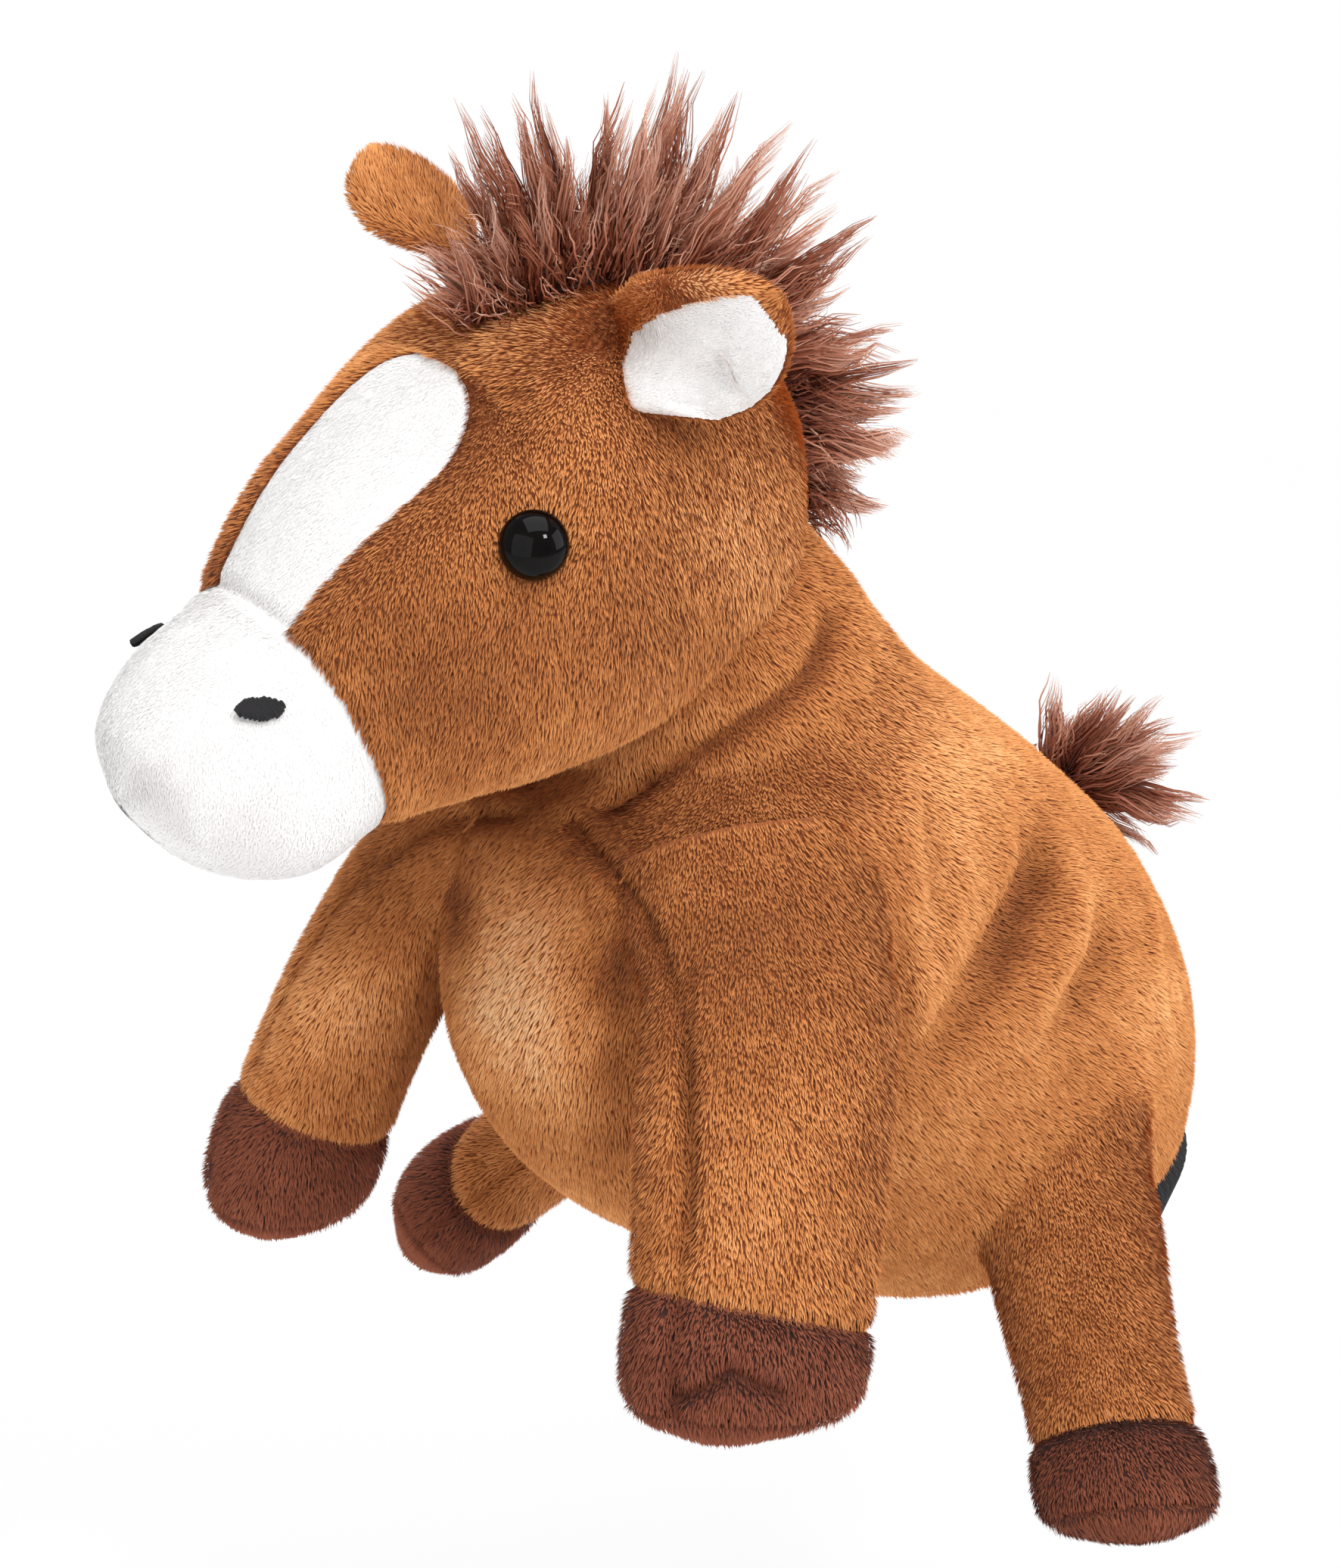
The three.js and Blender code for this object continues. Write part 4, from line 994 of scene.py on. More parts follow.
# Seams and pinches as lines in the picture, with painted shade, their depth and half width in millimetres,
# and the part
CHEST_SEAM = [(740, 1066), (765, 1089), (832, 1174), (863, 1229), (887, 1291), (903, 1376)]
CHEST_SEAM += [(909, 1450), (912, 1572), (906, 1700)]
SOLE_NOTCH = [(870, 1850), (930, 1830), (966, 1807), (1000, 1825), (1060, 1848)]
NECK_FOLD = [(1100, 765), (1066, 883), (966, 958), (907, 994), (840, 1035), (783, 1082)]
FLANK_VALLEY = [(1365, 1060), (1372, 1110), (1340, 1200), (1293, 1308), (1240, 1380), (1220, 1417)]
EAR_HOLLOW = [(905, 550), (920, 525), (940, 508), (970, 497)]
CREASES = [
    (CHEST_SEAM, 1.9, 1.7, ""),
    (SOLE_NOTCH, 2.4, 1.8, "foreleg"),
    (NECK_FOLD, 2.7, 2.3, "torso"),
    (FLANK_VALLEY, 0.8, 3, "torso"),
    (EAR_HOLLOW, 2.2, 3.6, "ear_left"),
]
JOIN = 13  # reach of the test for what lies inside another skin


def build_skins():
    skins = {name: leg_skin(name) for name in legs}
    skins["torso"] = torso_skin()
    skins["head"] = head_skin()
    for side in SIDES:
        skins[f"ear_{side}"] = ear_skin(side)
    trees = {name: skin.tree() for name, skin in skins.items()}
    for name in legs:
        meet(skins[name], trees["torso"], fillet_at(skins[name].points, name))
    for name in legs:
        meet(skins["torso"], trees[name], fillet_at(skins["torso"].points, name))
    for name, other in {"torso": "head", "head": "torso", "ear_left": "head", "ear_right": "head"}.items():
        d = distance_to(trees[other], skins[name].points, JOIN)
        skins[name].bare = np.maximum(skins[name].bare, smooth(*BARE, d))
    # Creases pressed in, with painted shade along them
    for name in ("torso", "foreleg_left", "foreleg_right", "ear_left", "ear_right"):
        crease(name, skins[name], False)
        crease(name, skins[name], True)
    # Painted light and shade over every skin
    for name, skin in skins.items():
        paint_light_and_shade(name, skin, False)
        paint_light_and_shade(name, skin, True)
    return skins


skins = build_skins()


# Pile
class Growth(Graph):
    """A node tree that grows strands from a base mesh."""

    def __init__(self, title, inputs):
        super().__init__(bpy.data.node_groups.new(title, "GeometryNodeTree"))
        new = self.tree.interface.new_socket
        new("Geometry", in_out="OUTPUT", socket_type="NodeSocketGeometry")
        for name, kind in {"Base": "Geometry", "Finish": "Material", **inputs, "Seed": "Int"}.items():
            new(name, in_out="INPUT", socket_type=f"NodeSocket{kind}")
        self.base = self.add("NodeGroupInput")

    def given(self, name):
        return self.base.other(name)

    def named(self, name, kind="FLOAT"):
        return self.add("GeometryNodeInputNamedAttribute", {"data_type": kind}, {"Name": name})

    def store(self, geometry, name, value, domain="POINT", kind="FLOAT"):
        sockets = {"Geometry": geometry, "Name": name, "Value": value}
        return self.add("GeometryNodeStoreNamedAttribute", {"data_type": kind, "domain": domain}, sockets)

    def chance(self, low, high, seed):
        sockets = {2: low, 3: high, "Seed": seed}
        return self.add("FunctionNodeRandomValue", {"data_type": "FLOAT"}, sockets, output=1)

    def chance_vector(self, size, seed):
        sockets = {0: (-size, -size, -size), 1: (size, size, size), "Seed": seed}
        return self.add("FunctionNodeRandomValue", {"data_type": "FLOAT_VECTOR"}, sockets)

    def scatter(self, density):
        sockets = {"Mesh": self.base, "Density": density, "Seed": self.given("Seed")}
        return self.add("GeometryNodeDistributePointsOnFaces", {"distribute_method": "RANDOM"}, sockets)

    def stand(self, vector):
        """The turn that points Z along a vector."""
        return self.add("FunctionNodeAlignRotationToVector", {"axis": "Z"}, {"Vector": vector})

    def roll(self, turn, axis, vector):
        """A turn that is rolled about its own Z until another axis faces along a vector."""
        sockets = {"Rotation": turn, "Vector": vector}
        return self.add("FunctionNodeAlignRotationToVector", {"axis": axis, "pivot_axis": "Z"}, sockets)

    def line(self, start, end):
        return self.add("GeometryNodeCurvePrimitiveLine", None, {"Start": start, "End": end})

    def object(self, name):
        return self.add("GeometryNodeObjectInfo", None, {"Object": self.given(name)}, output="Geometry")

    def copies(self, points, shape, turn, size):
        sockets = {"Points": points, "Instance": shape, "Rotation": turn, "Scale": size}
        return self.add("GeometryNodeInstanceOnPoints", None, sockets)

    def real(self, geometry):
        return self.add("GeometryNodeRealizeInstances", None, {"Geometry": geometry})

    def mapped(self, geometry, shade):
        """Stores where each strand lies in the map of the pile's colours, just inside its edges."""
        low, high = MAP_SHADES
        across = self.add("ShaderNodeClamp", None, {"Value": shade, "Min": low, "Max": high})
        across = across + self.named("side") * MAP_EDGE
        place = self.joined(across, self.named("rise") * (1 - 2 * MAP_EDGE) + MAP_EDGE)
        return self.store(geometry, PILE_MAP, place, "CORNER", "FLOAT2")

    def finished(self, geometry):
        sockets = {"Geometry": self.real(geometry), "Material": self.given("Finish")}
        self.add("NodeGroupOutput", None, {"Geometry": self.add("GeometryNodeSetMaterial", None, sockets)})
        return self.tree


def blade_object():
    """One strand of pile, a metre long and wide, that stands on its root."""
    points = [(0, 0, 0), (-0.5, 0.03, 0.45), (0, 0, 1), (0.5, 0.03, 0.45)]
    attributes = {"rise": [p[2] for p in points], "side": [2 * p[0] for p in points]}
    return mesh_object("blade", np.array(points) / MM, [(0, 3, 2, 1)], brown_pile, attributes)


# Noises over the short pile: scale and detail of those that ruffle it,
# and of those that mottle it, with how much they do
RUFFLES = ((90.0, 3.0), (420.0, 2.0))
MOTTLES = ((240.0, 3.0, 0.36), (45.0, 2.0, 0.35))
STRAND_LENGTHS = (0.7, 1.25)  # shares of the pile's length
STRAND_LUCK = 0.06  # how much one strand's shade differs from the next
STRAND_SEEDS = {"spin": 3, "length": 5, "shade": 9}


def pile_tree():
    """Strands of short pile over a skin, that lie along its nap."""
    floats = dict.fromkeys(("Density", "Length", "Width", "Lean", "Ruffle", "Spin"), "Float")
    graph = Growth("short pile", {"Blade": "Object", **floats})
    points = graph.scatter(graph.given("Density") * graph.named("pile"))
    normal = points.other("Normal")
    where = graph.add("GeometryNodeInputPosition")
    swirl, fine = (noise(graph, scale, detail, where, "Color") for scale, detail in RUFFLES)
    centred = graph.vector("SUBTRACT", graph.vector("ADD", swirl, fine), (1.0, 1.0, 1.0))
    ruffle = graph.scaled(centred, graph.given("Ruffle"))
    nap = graph.vector("NORMALIZE", graph.vector("ADD", graph.named("nap", "FLOAT_VECTOR"), ruffle))
    lean = graph.given("Lean")
    growth = graph.vector("ADD", graph.scaled(nap, lean), graph.scaled(normal, 1 - lean))
    flat = graph.roll(graph.stand(growth), "Y", normal)
    spin = graph.chance(graph.given("Spin") * -1, graph.given("Spin"), STRAND_SEEDS["spin"])
    about = graph.add("FunctionNodeAxisAngleToRotation", None, {"Axis": (0.0, 0.0, 1.0), "Angle": spin})
    sockets = {"Rotation": flat, "Rotate By": about}
    turn = graph.add("FunctionNodeRotateRotation", {"rotation_space": "LOCAL"}, sockets)
    width = graph.given("Width")
    length = graph.given("Length") * graph.chance(*STRAND_LENGTHS, STRAND_SEEDS["length"])
    size = graph.joined(width, width, length)
    shade = graph.named("shade") + 0.5 + graph.chance(-STRAND_LUCK, STRAND_LUCK, STRAND_SEEDS["shade"])
    for scale, detail, much in MOTTLES:
        shade = shade + (noise(graph, scale, detail, where) - 0.5) * much
    strands = graph.copies(graph.store(points, "light", shade), graph.object("Blade"), turn, size)
    return graph.finished(graph.mapped(graph.real(strands), graph.named("light")))


# Attributes that the node trees read or store, and that a finished piece doesn't keep
GROWTH_NAMES = set("nap shade pile light rise side growth tall bend stray luck reach up lie span".split())


def grown(name, base, tree, inputs):
    """What a node tree makes of a base mesh, as a plain mesh object. The base keeps its own mesh."""
    maker = bpy.data.objects.new(name, base.data)
    bpy.context.collection.objects.link(maker)
    modifier = maker.modifiers.new("grow", "NODES")
    modifier.node_group = tree
    sockets = {i.name: i.identifier for i in tree.interface.items_tree if i.in_out == "INPUT"}
    for key, value in inputs.items():
        modifier[sockets[key]] = value
    bpy.context.view_layer.update()
    graph = bpy.context.evaluated_depsgraph_get()
    mesh = bpy.data.meshes.new_from_object(maker.evaluated_get(graph))
    bpy.data.objects.remove(maker)
    for extra in {a.name for a in mesh.attributes} & GROWTH_NAMES:
        mesh.attributes.remove(mesh.attributes[extra])
    made = bpy.data.objects.new(name, mesh)
    bpy.context.collection.objects.link(made)
    return made


SHORT_PILE = pile_tree()
BLADE = blade_object()
# Short piles: slot, finish, strands to a square millimetre, length and width in millimetres,
# lean, ruffle and spin
PILES = {
    "brown": ("brown_plush", brown_pile, 4.9, 2.0, 0.36, 0.56, 0.75, 0.4),
    "hoof": ("hoof_plush", hoof_pile, 4.9, 1.9, 0.36, 0.56, 0.75, 0.4),
    "white": ("white_plush", white_pile, 7.0, 1.0, 0.38, 0.86, 0.3, 0.12),
}


# Seeds of the piles, to which the length of a piece's name is added where several share one
SEEDS = {"torso": 0, "neck": 21, "head": 30, "leg": 40, "hoof": 50, "sole": 51, "ear": 60, "stitch": 81}


def pile_on(base, kind, seed):
    slot, finish, density, length, width, lean, ruffle, spin = PILES[kind]
    share = 1
    inputs = {
        "Blade": BLADE,
        "Finish": finish,
        "Density": density * share / MM**2,
        "Length": length * MM,
        "Width": width * MM,
        "Lean": lean,
        "Ruffle": ruffle,
        "Spin": spin,
        "Seed": seed,
    }
    pile = grown(base.name.replace("_skin", "") + "_pile", base, SHORT_PILE, inputs)
    return pile


# Pieces
def rides(body, *pieces):
    for piece in pieces:
        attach(piece, body)


def build_torso():
    skin = skins["torso"]
    columns = skin.points.shape[1]
    seam = round(columns * BELLY_SEAM / 360)
    k = np.arange(columns)
    belly = (k < seam) | (k >= columns - seam)
    left = ~belly & (k < columns // 2)
    right = ~belly & (k >= columns // 2)
    row = np.arange(len(skin.points) - 1)[:, None]
    for name, keep, node in (
        ("belly", belly, "chest_belly_panel"),
        ("side_left", left, "body_side_left"),
        ("side_right", right, "body_side_right"),
    ):
        piece = skin.piece(f"{name}_skin", brown_backing, keep & (row >= NECK_ROWS))
        pile = pile_on(piece, "brown", SEEDS["torso"] + len(name))
        rides("torso", piece, pile)
        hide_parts(node)


NECK_BEND = (0, 14)  # the neck bends between these heights above the torso


def build_neck():
    skin = skins["torso"]
    rows, columns = skin.points.shape[:2]
    neck = (np.arange(rows - 1) < NECK_ROWS)[:, None] & np.ones(columns, bool)
    piece = skin.piece("neck_skin", brown_backing, neck)
    pile = pile_on(piece, "brown", SEEDS["neck"])
    low, high = (neck_rib[0] + rise * neck_axis for rise in NECK_BEND)
    for part in (piece, pile):
        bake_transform(part, "torso", "neck", start=tuple(low * MM), end=tuple(high * MM))
    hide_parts("neck_collar")


def build_head():
    skin = skins["head"]
    rows, columns = skin.points.shape[:2]
    row = np.arange(rows - 1)[:, None]
    k = np.arange(columns)[None, :]
    seam = int(np.argmin(np.abs(skin.rows - MUZZLE_SEAM)))
    top = int(np.argmin(np.abs(skin.rows - BLAZE["from"])))
    muzzle = (row >= seam) & (k >= 0)
    middle = (k < BLAZE_COLUMNS) | (k >= columns - BLAZE_COLUMNS)
    blaze = (row >= top) & (row < seam) & middle
    plush = ~muzzle & ~blaze
    left = plush & (k < columns // 2)
    right = plush & (k >= columns // 2)
    for name, keep, finish, kind, ends in (
        ("head_left", left, brown_backing, "brown", ()),
        ("head_right", right, brown_backing, "brown", ()),
        ("muzzle", muzzle, white_backing, "white", (rows - 1,)),
        ("blaze", blaze, white_backing, "white", ()),
    ):
        piece = skin.piece(f"{name}_skin", finish, keep, ends)
        pile = pile_on(piece, kind, SEEDS["head"] + len(name))
        rides("head", piece, pile)
        node = name.replace("head_", "head_side_")
        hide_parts(node)


HEAD_STUFFING = 0.94  # size of the head's filling as a share of its node's, which keeps it under the plush
LEG_BEND = (0.06, 0.42)  # a leg bends between these shares of its length
LEG_CUTS = 3  # of each edge of what is inside a leg
LEG_INSIDE = {
    "foreleg": ("foreleg_finger_stall", "stall_cloth", "black_lining", black_lining),
    "hindleg": ("hindleg_filling", "stuffing", "fibre_filling", white_fibre),
}


def inner_piece(name, node, finish, cuts=0, share=1):
    """A hidden piece made from its CAD node, divided to bend and drawn in towards its middle."""
    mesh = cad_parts[node].data.copy()
    mesh.materials.clear()
    mesh.materials.append(finish)
    grid = bmesh.new()
    grid.from_mesh(mesh)
    if cuts:
        bmesh.ops.subdivide_edges(grid, edges=grid.edges[:], cuts=cuts, use_grid_fill=True)
    middle = sum((vertex.co for vertex in grid.verts), Vector()) / len(grid.verts)
    for vertex in grid.verts:
        vertex.co = middle + (vertex.co - middle) * share
    grid.to_mesh(mesh)
    grid.free()
    piece = bpy.data.objects.new(name, mesh)
    bpy.context.collection.objects.link(piece)
    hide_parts(node)
    return piece


def leg_inside(kind, side):
    """What is inside a leg from its root on, which bends with the leg's cover."""
    node, title, slot, finish = LEG_INSIDE[kind]
    return inner_piece(f"{kind}_{side}_{title}", f"{node}_{side}", finish, cuts=LEG_CUTS)


def build_leg(name, leg):
    kind, side = name.split("_")
    skin = skins[name]
    rows, columns = skin.points.shape[:2]
    row = np.arange(rows - 1)[:, None] + np.zeros((1, columns), int)
    hooves = LEG_ROWS - 1
    soles = hooves + round((HOOF_ROWS - 1) * (leg["sole"] - leg["hoof"]) / (1 - leg["hoof"]))
    cover = skin.piece(f"{name}_skin", brown_backing, row < hooves)
    pile = pile_on(cover, "brown", SEEDS["leg"] + len(name))
    start, end = [tuple(legs[name].centre(along) * MM) for along in LEG_BEND]
    for part in (cover, pile, leg_inside(kind, side)):
        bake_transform(part, "torso", name, start=start, end=end)
    hoof = skin.piece(f"{name}_hoof_skin", hoof_backing, (row >= hooves) & (row < soles))
    sole = skin.piece(f"{name}_sole_skin", hoof_backing, row >= soles, (rows - 1,))
    rides(name, hoof, sole)
    rides(name, pile_on(hoof, "hoof", SEEDS["hoof"]), pile_on(sole, "hoof", SEEDS["sole"]))
    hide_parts(f"{kind}_outer_{side}", f"{kind}_inner_{side}")
    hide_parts(f"{kind}_hoof_{side}")
    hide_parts(f"{kind}_sole_{side}")


EAR_BEND = 7  # an ear bends over this way from its root
# Where an ear's lining ends: across it, and along it from root to tip
EAR_WHITE = {"top": 0.5, "top_lean": 0.25, "root": 0.06, "root_lean": 0.2, "tip": 0.97}


def build_ear(side):
    skin = skins[f"ear_{side}"]
    rows, columns = skin.points.shape[:2]
    v = np.linspace(0, 1, rows - 1)[:, None]
    k = np.arange(columns)
    up = SIDES[side] * (2 * (k + 0.5) / EAR_COLUMNS - 1)
    below = up < EAR_WHITE["top"] + EAR_WHITE["top_lean"] * v
    beyond = v > EAR_WHITE["root"] + EAR_WHITE["root_lean"] * np.maximum(up, 0)
    white = (k < EAR_COLUMNS - 1) & below & beyond & (v < EAR_WHITE["tip"])
    root, out, *_ = ear_frame(side)
    start, end = tuple(root * MM), tuple((root + EAR_BEND * out) * MM)
    for name, keep, finish, kind, ends in (
        ("back", ~white, brown_backing, "brown", (rows - 1,)),
        ("lining", white, white_backing, "white", ()),
    ):
        piece = skin.piece(f"ear_{name}_{side}_skin", finish, keep, ends)
        for part in (piece, pile_on(piece, kind, SEEDS["ear"] + len(name))):
            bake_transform(part, "head", f"ear_{side}", start=start, end=end)
        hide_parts(f"ear_{name}_{side}")


LOCK_POINTS = 9  # along a strand
LOCK_STRAY = 0.24  # of a lock from the way that its base grows
LOCK_GATHER = 0.8  # power by which a lock's strands draw together
HAIR_LUCK = 0.16  # how much the shades of locks and of strands differ
HAIR_UNEVEN = (-0.3, 0.05)  # how much longer than its lock a strand is, as a share
HAIR_WAVE = (130.0, 2.0)  # scale and detail of the noise that curls it
HAIR_TWIST = 18  # tilt of a strand in radians, as a multiple of its luck
HAIR_TAPER, HAIR_TAPER_POWER = 0.85, 3
HAIR_WIDTH, HAIR_CURL = 0.36, 9
LOCK_SEEDS = {"shade": 11, "way": 12, "length": 13}
HAIR_SEEDS = {"stray": 14, "luck": 15, "reach": 16}


def long_pile_tree():
    """Locks of long hair, each a clump of flat strands that draw together to a tip."""
    floats = ("Locks", "Spread", "Tip", "Shortest", "Longest", "Width", "Curl")
    graph = Growth("long pile", {"Strands": "Int", **dict.fromkeys(floats, "Float")})
    shade = graph.chance(-HAIR_LUCK, HAIR_LUCK, LOCK_SEEDS["shade"])
    roots = graph.store(graph.scatter(graph.given("Locks")), "light", shade)
    line = graph.line((0.0, 0.0, 0.0), (0.0, 0.0, 1.0))
    line = graph.add("GeometryNodeResampleCurve", None, {"Curve": line, "Count": LOCK_POINTS})
    stray = graph.chance_vector(LOCK_STRAY, LOCK_SEEDS["way"])
    way = graph.vector("ADD", graph.named("growth", "FLOAT_VECTOR"), stray)
    lengths = graph.given("Shortest"), graph.given("Longest")
    tall = graph.named("tall") * graph.chance(*lengths, LOCK_SEEDS["length"])
    locks = graph.copies(roots, line, graph.stand(way), graph.joined(tall, tall, tall))
    copies = {"Geometry": graph.real(locks), "Amount": graph.given("Strands")}
    hairs = graph.add("GeometryNodeDuplicateElements", {"domain": "SPLINE"}, copies)
    stray = graph.chance_vector(1, HAIR_SEEDS["stray"])
    hairs = graph.store(hairs, "stray", stray, "CURVE", "FLOAT_VECTOR")
    hairs = graph.store(hairs, "luck", graph.chance(-HAIR_LUCK, HAIR_LUCK, HAIR_SEEDS["luck"]), "CURVE")
    hairs = graph.store(hairs, "reach", graph.chance(*HAIR_UNEVEN, HAIR_SEEDS["reach"]), "CURVE")
    rise = graph.add("GeometryNodeSplineParameter")
    hairs = graph.store(hairs, "rise", rise)
    where = graph.add("GeometryNodeInputPosition")
    wave = graph.vector("SUBTRACT", noise(graph, *HAIR_WAVE, where, "Color"), (0.5, 0.5, 0.5))
    gather = graph.given("Spread") * (1 - rise) ** LOCK_GATHER + graph.given("Tip") * rise
    shift = graph.scaled(graph.named("stray", "FLOAT_VECTOR"), gather)
    for vector, much in (
        (graph.named("bend", "FLOAT_VECTOR"), rise * rise),
        (wave, graph.given("Curl") * rise),
        (graph.named("growth", "FLOAT_VECTOR"), graph.named("reach") * graph.named("tall") * rise),
    ):
        shift = graph.vector("ADD", shift, graph.scaled(vector, much))
    hairs = graph.add("GeometryNodeSetPosition", None, {"Geometry": hairs, "Offset": shift})
    twist = graph.named("luck") * HAIR_TWIST
    hairs = graph.add("GeometryNodeSetCurveTilt", None, {"Curve": hairs, "Tilt": twist})
    flat = graph.line((-0.5, 0.0, 0.0), (0.5, 0.0, 0.0))
    flat = graph.store(flat, "side", graph.add("GeometryNodeInputIndex") * 2 - 1)
    taper = graph.given("Width") * (1 - HAIR_TAPER * rise**HAIR_TAPER_POWER)
    sockets = {"Curve": hairs, "Profile Curve": flat, "Scale": taper}
    ribbon = graph.add("GeometryNodeCurveToMesh", None, sockets)
    return graph.finished(graph.mapped(ribbon, graph.named("light") + graph.named("luck") + 0.5))


LONG_PILE = long_pile_tree()


# Hair: locks to a square millimetre, strands to a lock, its spread at the root and at the tip,
# its shortest and longest share of the length, and the seed
HAIR = {
    "mane_spikes": (0.075, 36, 2.2, 0.45, 0.66, 1.12, 71),
    "mane_fluff": (0.15, 26, 4.4, 2.8, 0.3, 0.62, 73),
    "tail_hair": (0.3, 44, 2.4, 0.8, 0.6, 1.1, 72),
}


def hair_on(name, base):
    locks, strands, spread, tip, shortest, longest, seed = HAIR[name]
    inputs = {
        "Finish": hair_pile,
        "Locks": locks / MM**2,
        "Strands": strands,
        "Spread": spread * MM,
        "Tip": tip * MM,
        "Shortest": shortest,
        "Longest": longest,
        "Width": HAIR_WIDTH * MM,
        "Curl": HAIR_CURL * MM,
        "Seed": seed,
    }
    hair = grown(name, base, LONG_PILE, inputs)
    return hair


# Lengths of the mane from the forelock to below the nape, and how far its tips sweep, as (y, z)
MANE_LENGTHS = (20, 31, 36, 34, 29, 25, 22, 19, 15)
MANE_SWEEP = ((-4, -1), (-1, 0), (2, 0), (3, 0), (4, -1), (4, -3), (4, -5), (4, -7), (3, -8))
MANE_GRID = (60, 13)
MANE_ON_HEAD = 0.8  # share of the mane that the head carries. The rest hangs below it
MANE_DOWN, MANE_BACK = (0, 0.35, -1), (0, 1, 0.35)  # the way the rest hangs, and the way its hair stands
MANE_FAN = 0.34  # how much its sides lean out
MANE_BLUNT, MANE_LEAST = 8, 0.05  # form of its rounded ends
MANE_ARCH, MANE_RAISE = -0.012, 0.4  # of its backing across the head


def build_mane():
    rows, columns = MANE_GRID
    t = np.linspace(0, 1, rows)
    along = MANE["front"] + (MANE["nape"] - MANE["front"]) * np.minimum(t / MANE_ON_HEAD, 1)
    up = np.array([head.normal(max(a, HEAD_ENDS[0]), 0.0) for a in along])
    turn = head_place[:3, :3]
    below = (np.maximum(0, t - MANE_ON_HEAD) / (1 - MANE_ON_HEAD))[:, None]
    foot = head.at(along, 0) + below * MANE["below"] * unit(turn @ np.array(MANE_DOWN))
    up = unit(up * (1 - below) + unit(turn @ np.array(MANE_BACK)) * below)[:, None]
    side = np.linspace(-1, 1, columns)[:, None] * (turn @ np.array((1, 0, 0)))
    half = MANE["half"] * np.sqrt(np.clip(1 - (2 * t - 1) ** MANE_BLUNT, MANE_LEAST, 1))[:, None, None]
    bulge = MANE_ARCH * (np.linspace(-1, 1, columns)[:, None] * half) ** 2 + MANE_RAISE
    points = foot[:, None] + half * side + bulge * up
    tall = spline(np.array(MANE_LENGTHS)[:, None], t) * MM
    bend = spline([(0, *sweep) for sweep in MANE_SWEEP], t) @ turn.T * MM
    k = np.arange((rows - 1) * columns).reshape(rows - 1, columns)[:, :-1].ravel()
    faces = np.stack([k, k + 1, k + columns + 1, k + columns], -1)
    facing = np.cross(points[1, 1] - points[0, 1], points[0, 2] - points[0, 1]) @ up[0, 0]
    faces = faces[:, ::-1] if facing > 0 else faces
    attributes = {
        "growth": unit(up + MANE_FAN * side).reshape(-1, 3),
        "tall": np.broadcast_to(tall, MANE_GRID).ravel(),
        "bend": np.broadcast_to(bend[:, None], points.shape).reshape(-1, 3),
    }
    base = mesh_object("mane_base", points.reshape(-1, 3), faces.tolist(), hair_backing, attributes)
    spikes = hair_on("mane_spikes", base)
    fluff = hair_on("mane_fluff", base)
    rides("head", base, spikes, fluff)
    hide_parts("mane")


TAIL_GRID = (14, 28)
TAIL_OPEN = (0.02, 2.2)  # angles from the stub's tip to its rim
TAIL_CLEAR = 0.1  # between the stub and the rump


def build_tail():
    n = torso.normal(TAIL["along"], math.pi)
    out = turn_about("X", TAIL["lift"])[:3, :3] @ n
    root = torso.at(TAIL["along"], math.pi) + n * (TAIL["root"] + TAIL_CLEAR)
    across = np.array((1, 0, 0))
    up = np.cross(across, out)
    rows, columns = TAIL_GRID
    polar = np.linspace(*TAIL_OPEN, rows)[:, None, None]
    turn = around(columns)[None, :, None]
    ball = np.cos(polar) * out + np.sin(polar) * (np.cos(turn) * across + np.sin(turn) * up)
    skin = Skin(root + TAIL["root"] * ball, root + 0 * ball, 0)
    attributes = {
        "growth": unit(ball + TAIL["gather"] * out).reshape(-1, 3),
        "tall": np.full(rows * columns, TAIL["length"] * MM),
        "bend": np.broadcast_to(np.array(TAIL["sweep"]) * MM, (rows * columns, 3)),
    }
    stub = mesh_object("tail_stub", skin.points.reshape(-1, 3), skin.closed(), hair_backing, attributes)
    hair = hair_on("tail_hair", stub)
    rides("tail", stub, hair)
    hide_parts("tail_root")
    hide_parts("tail_tuft")


EYE_SIDES, EYE_ROWS = 64, 22
EYE_TOP = 0.49 * math.pi  # angle of the dome's last ring
EYE_SUNK = 1.4  # of the dome's foot below the head's form
EYE_RIM = ((-0.6, -2.6), (0, -2), (0, -0.6))  # past the eye's radius, and height
SHANK = ((2, -9), (2, -3))  # radius and height


def turned_piece(name, profile, place, axis, finish):
    """A profile of (radius, height) points turned about an axis through a place."""
    first = unit(np.cross(axis, (0, 0, 1)))
    second = np.cross(axis, first)
    turn = around(EYE_SIDES)[:, None]
    ring = np.cos(turn) * first + np.sin(turn) * second
    skin = Skin([place + r * ring + h * axis for r, h in profile], place, 0)
    return mesh_object(name, skin.points.reshape(-1, 3), skin.closed(), finish)


def build_eyes():
    radius = EYE["radius"]
    turn = np.linspace(0, EYE_TOP, EYE_ROWS)
    profile = [*SHANK] + [(radius + past, height) for past, height in EYE_RIM]
    profile += [(radius * math.cos(a), EYE["dome"] * math.sin(a)) for a in turn]
    for side, s in SIDES.items():
        angle = s * math.radians(EYE["angle"])
        axis = head.normal(EYE["along"], angle)
        place = head.at(EYE["along"], angle) - EYE_SUNK * axis
        eye = turned_piece(f"eye_{side}_dome", profile, place, axis, glossy_eye)
        rides("head", eye)
        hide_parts(f"eye_{side}")


THREAD_GRID = (9, 6)
THREAD_ARCH, THREAD_SUNK = 0.16, 0.06  # as shares of a stitch's length


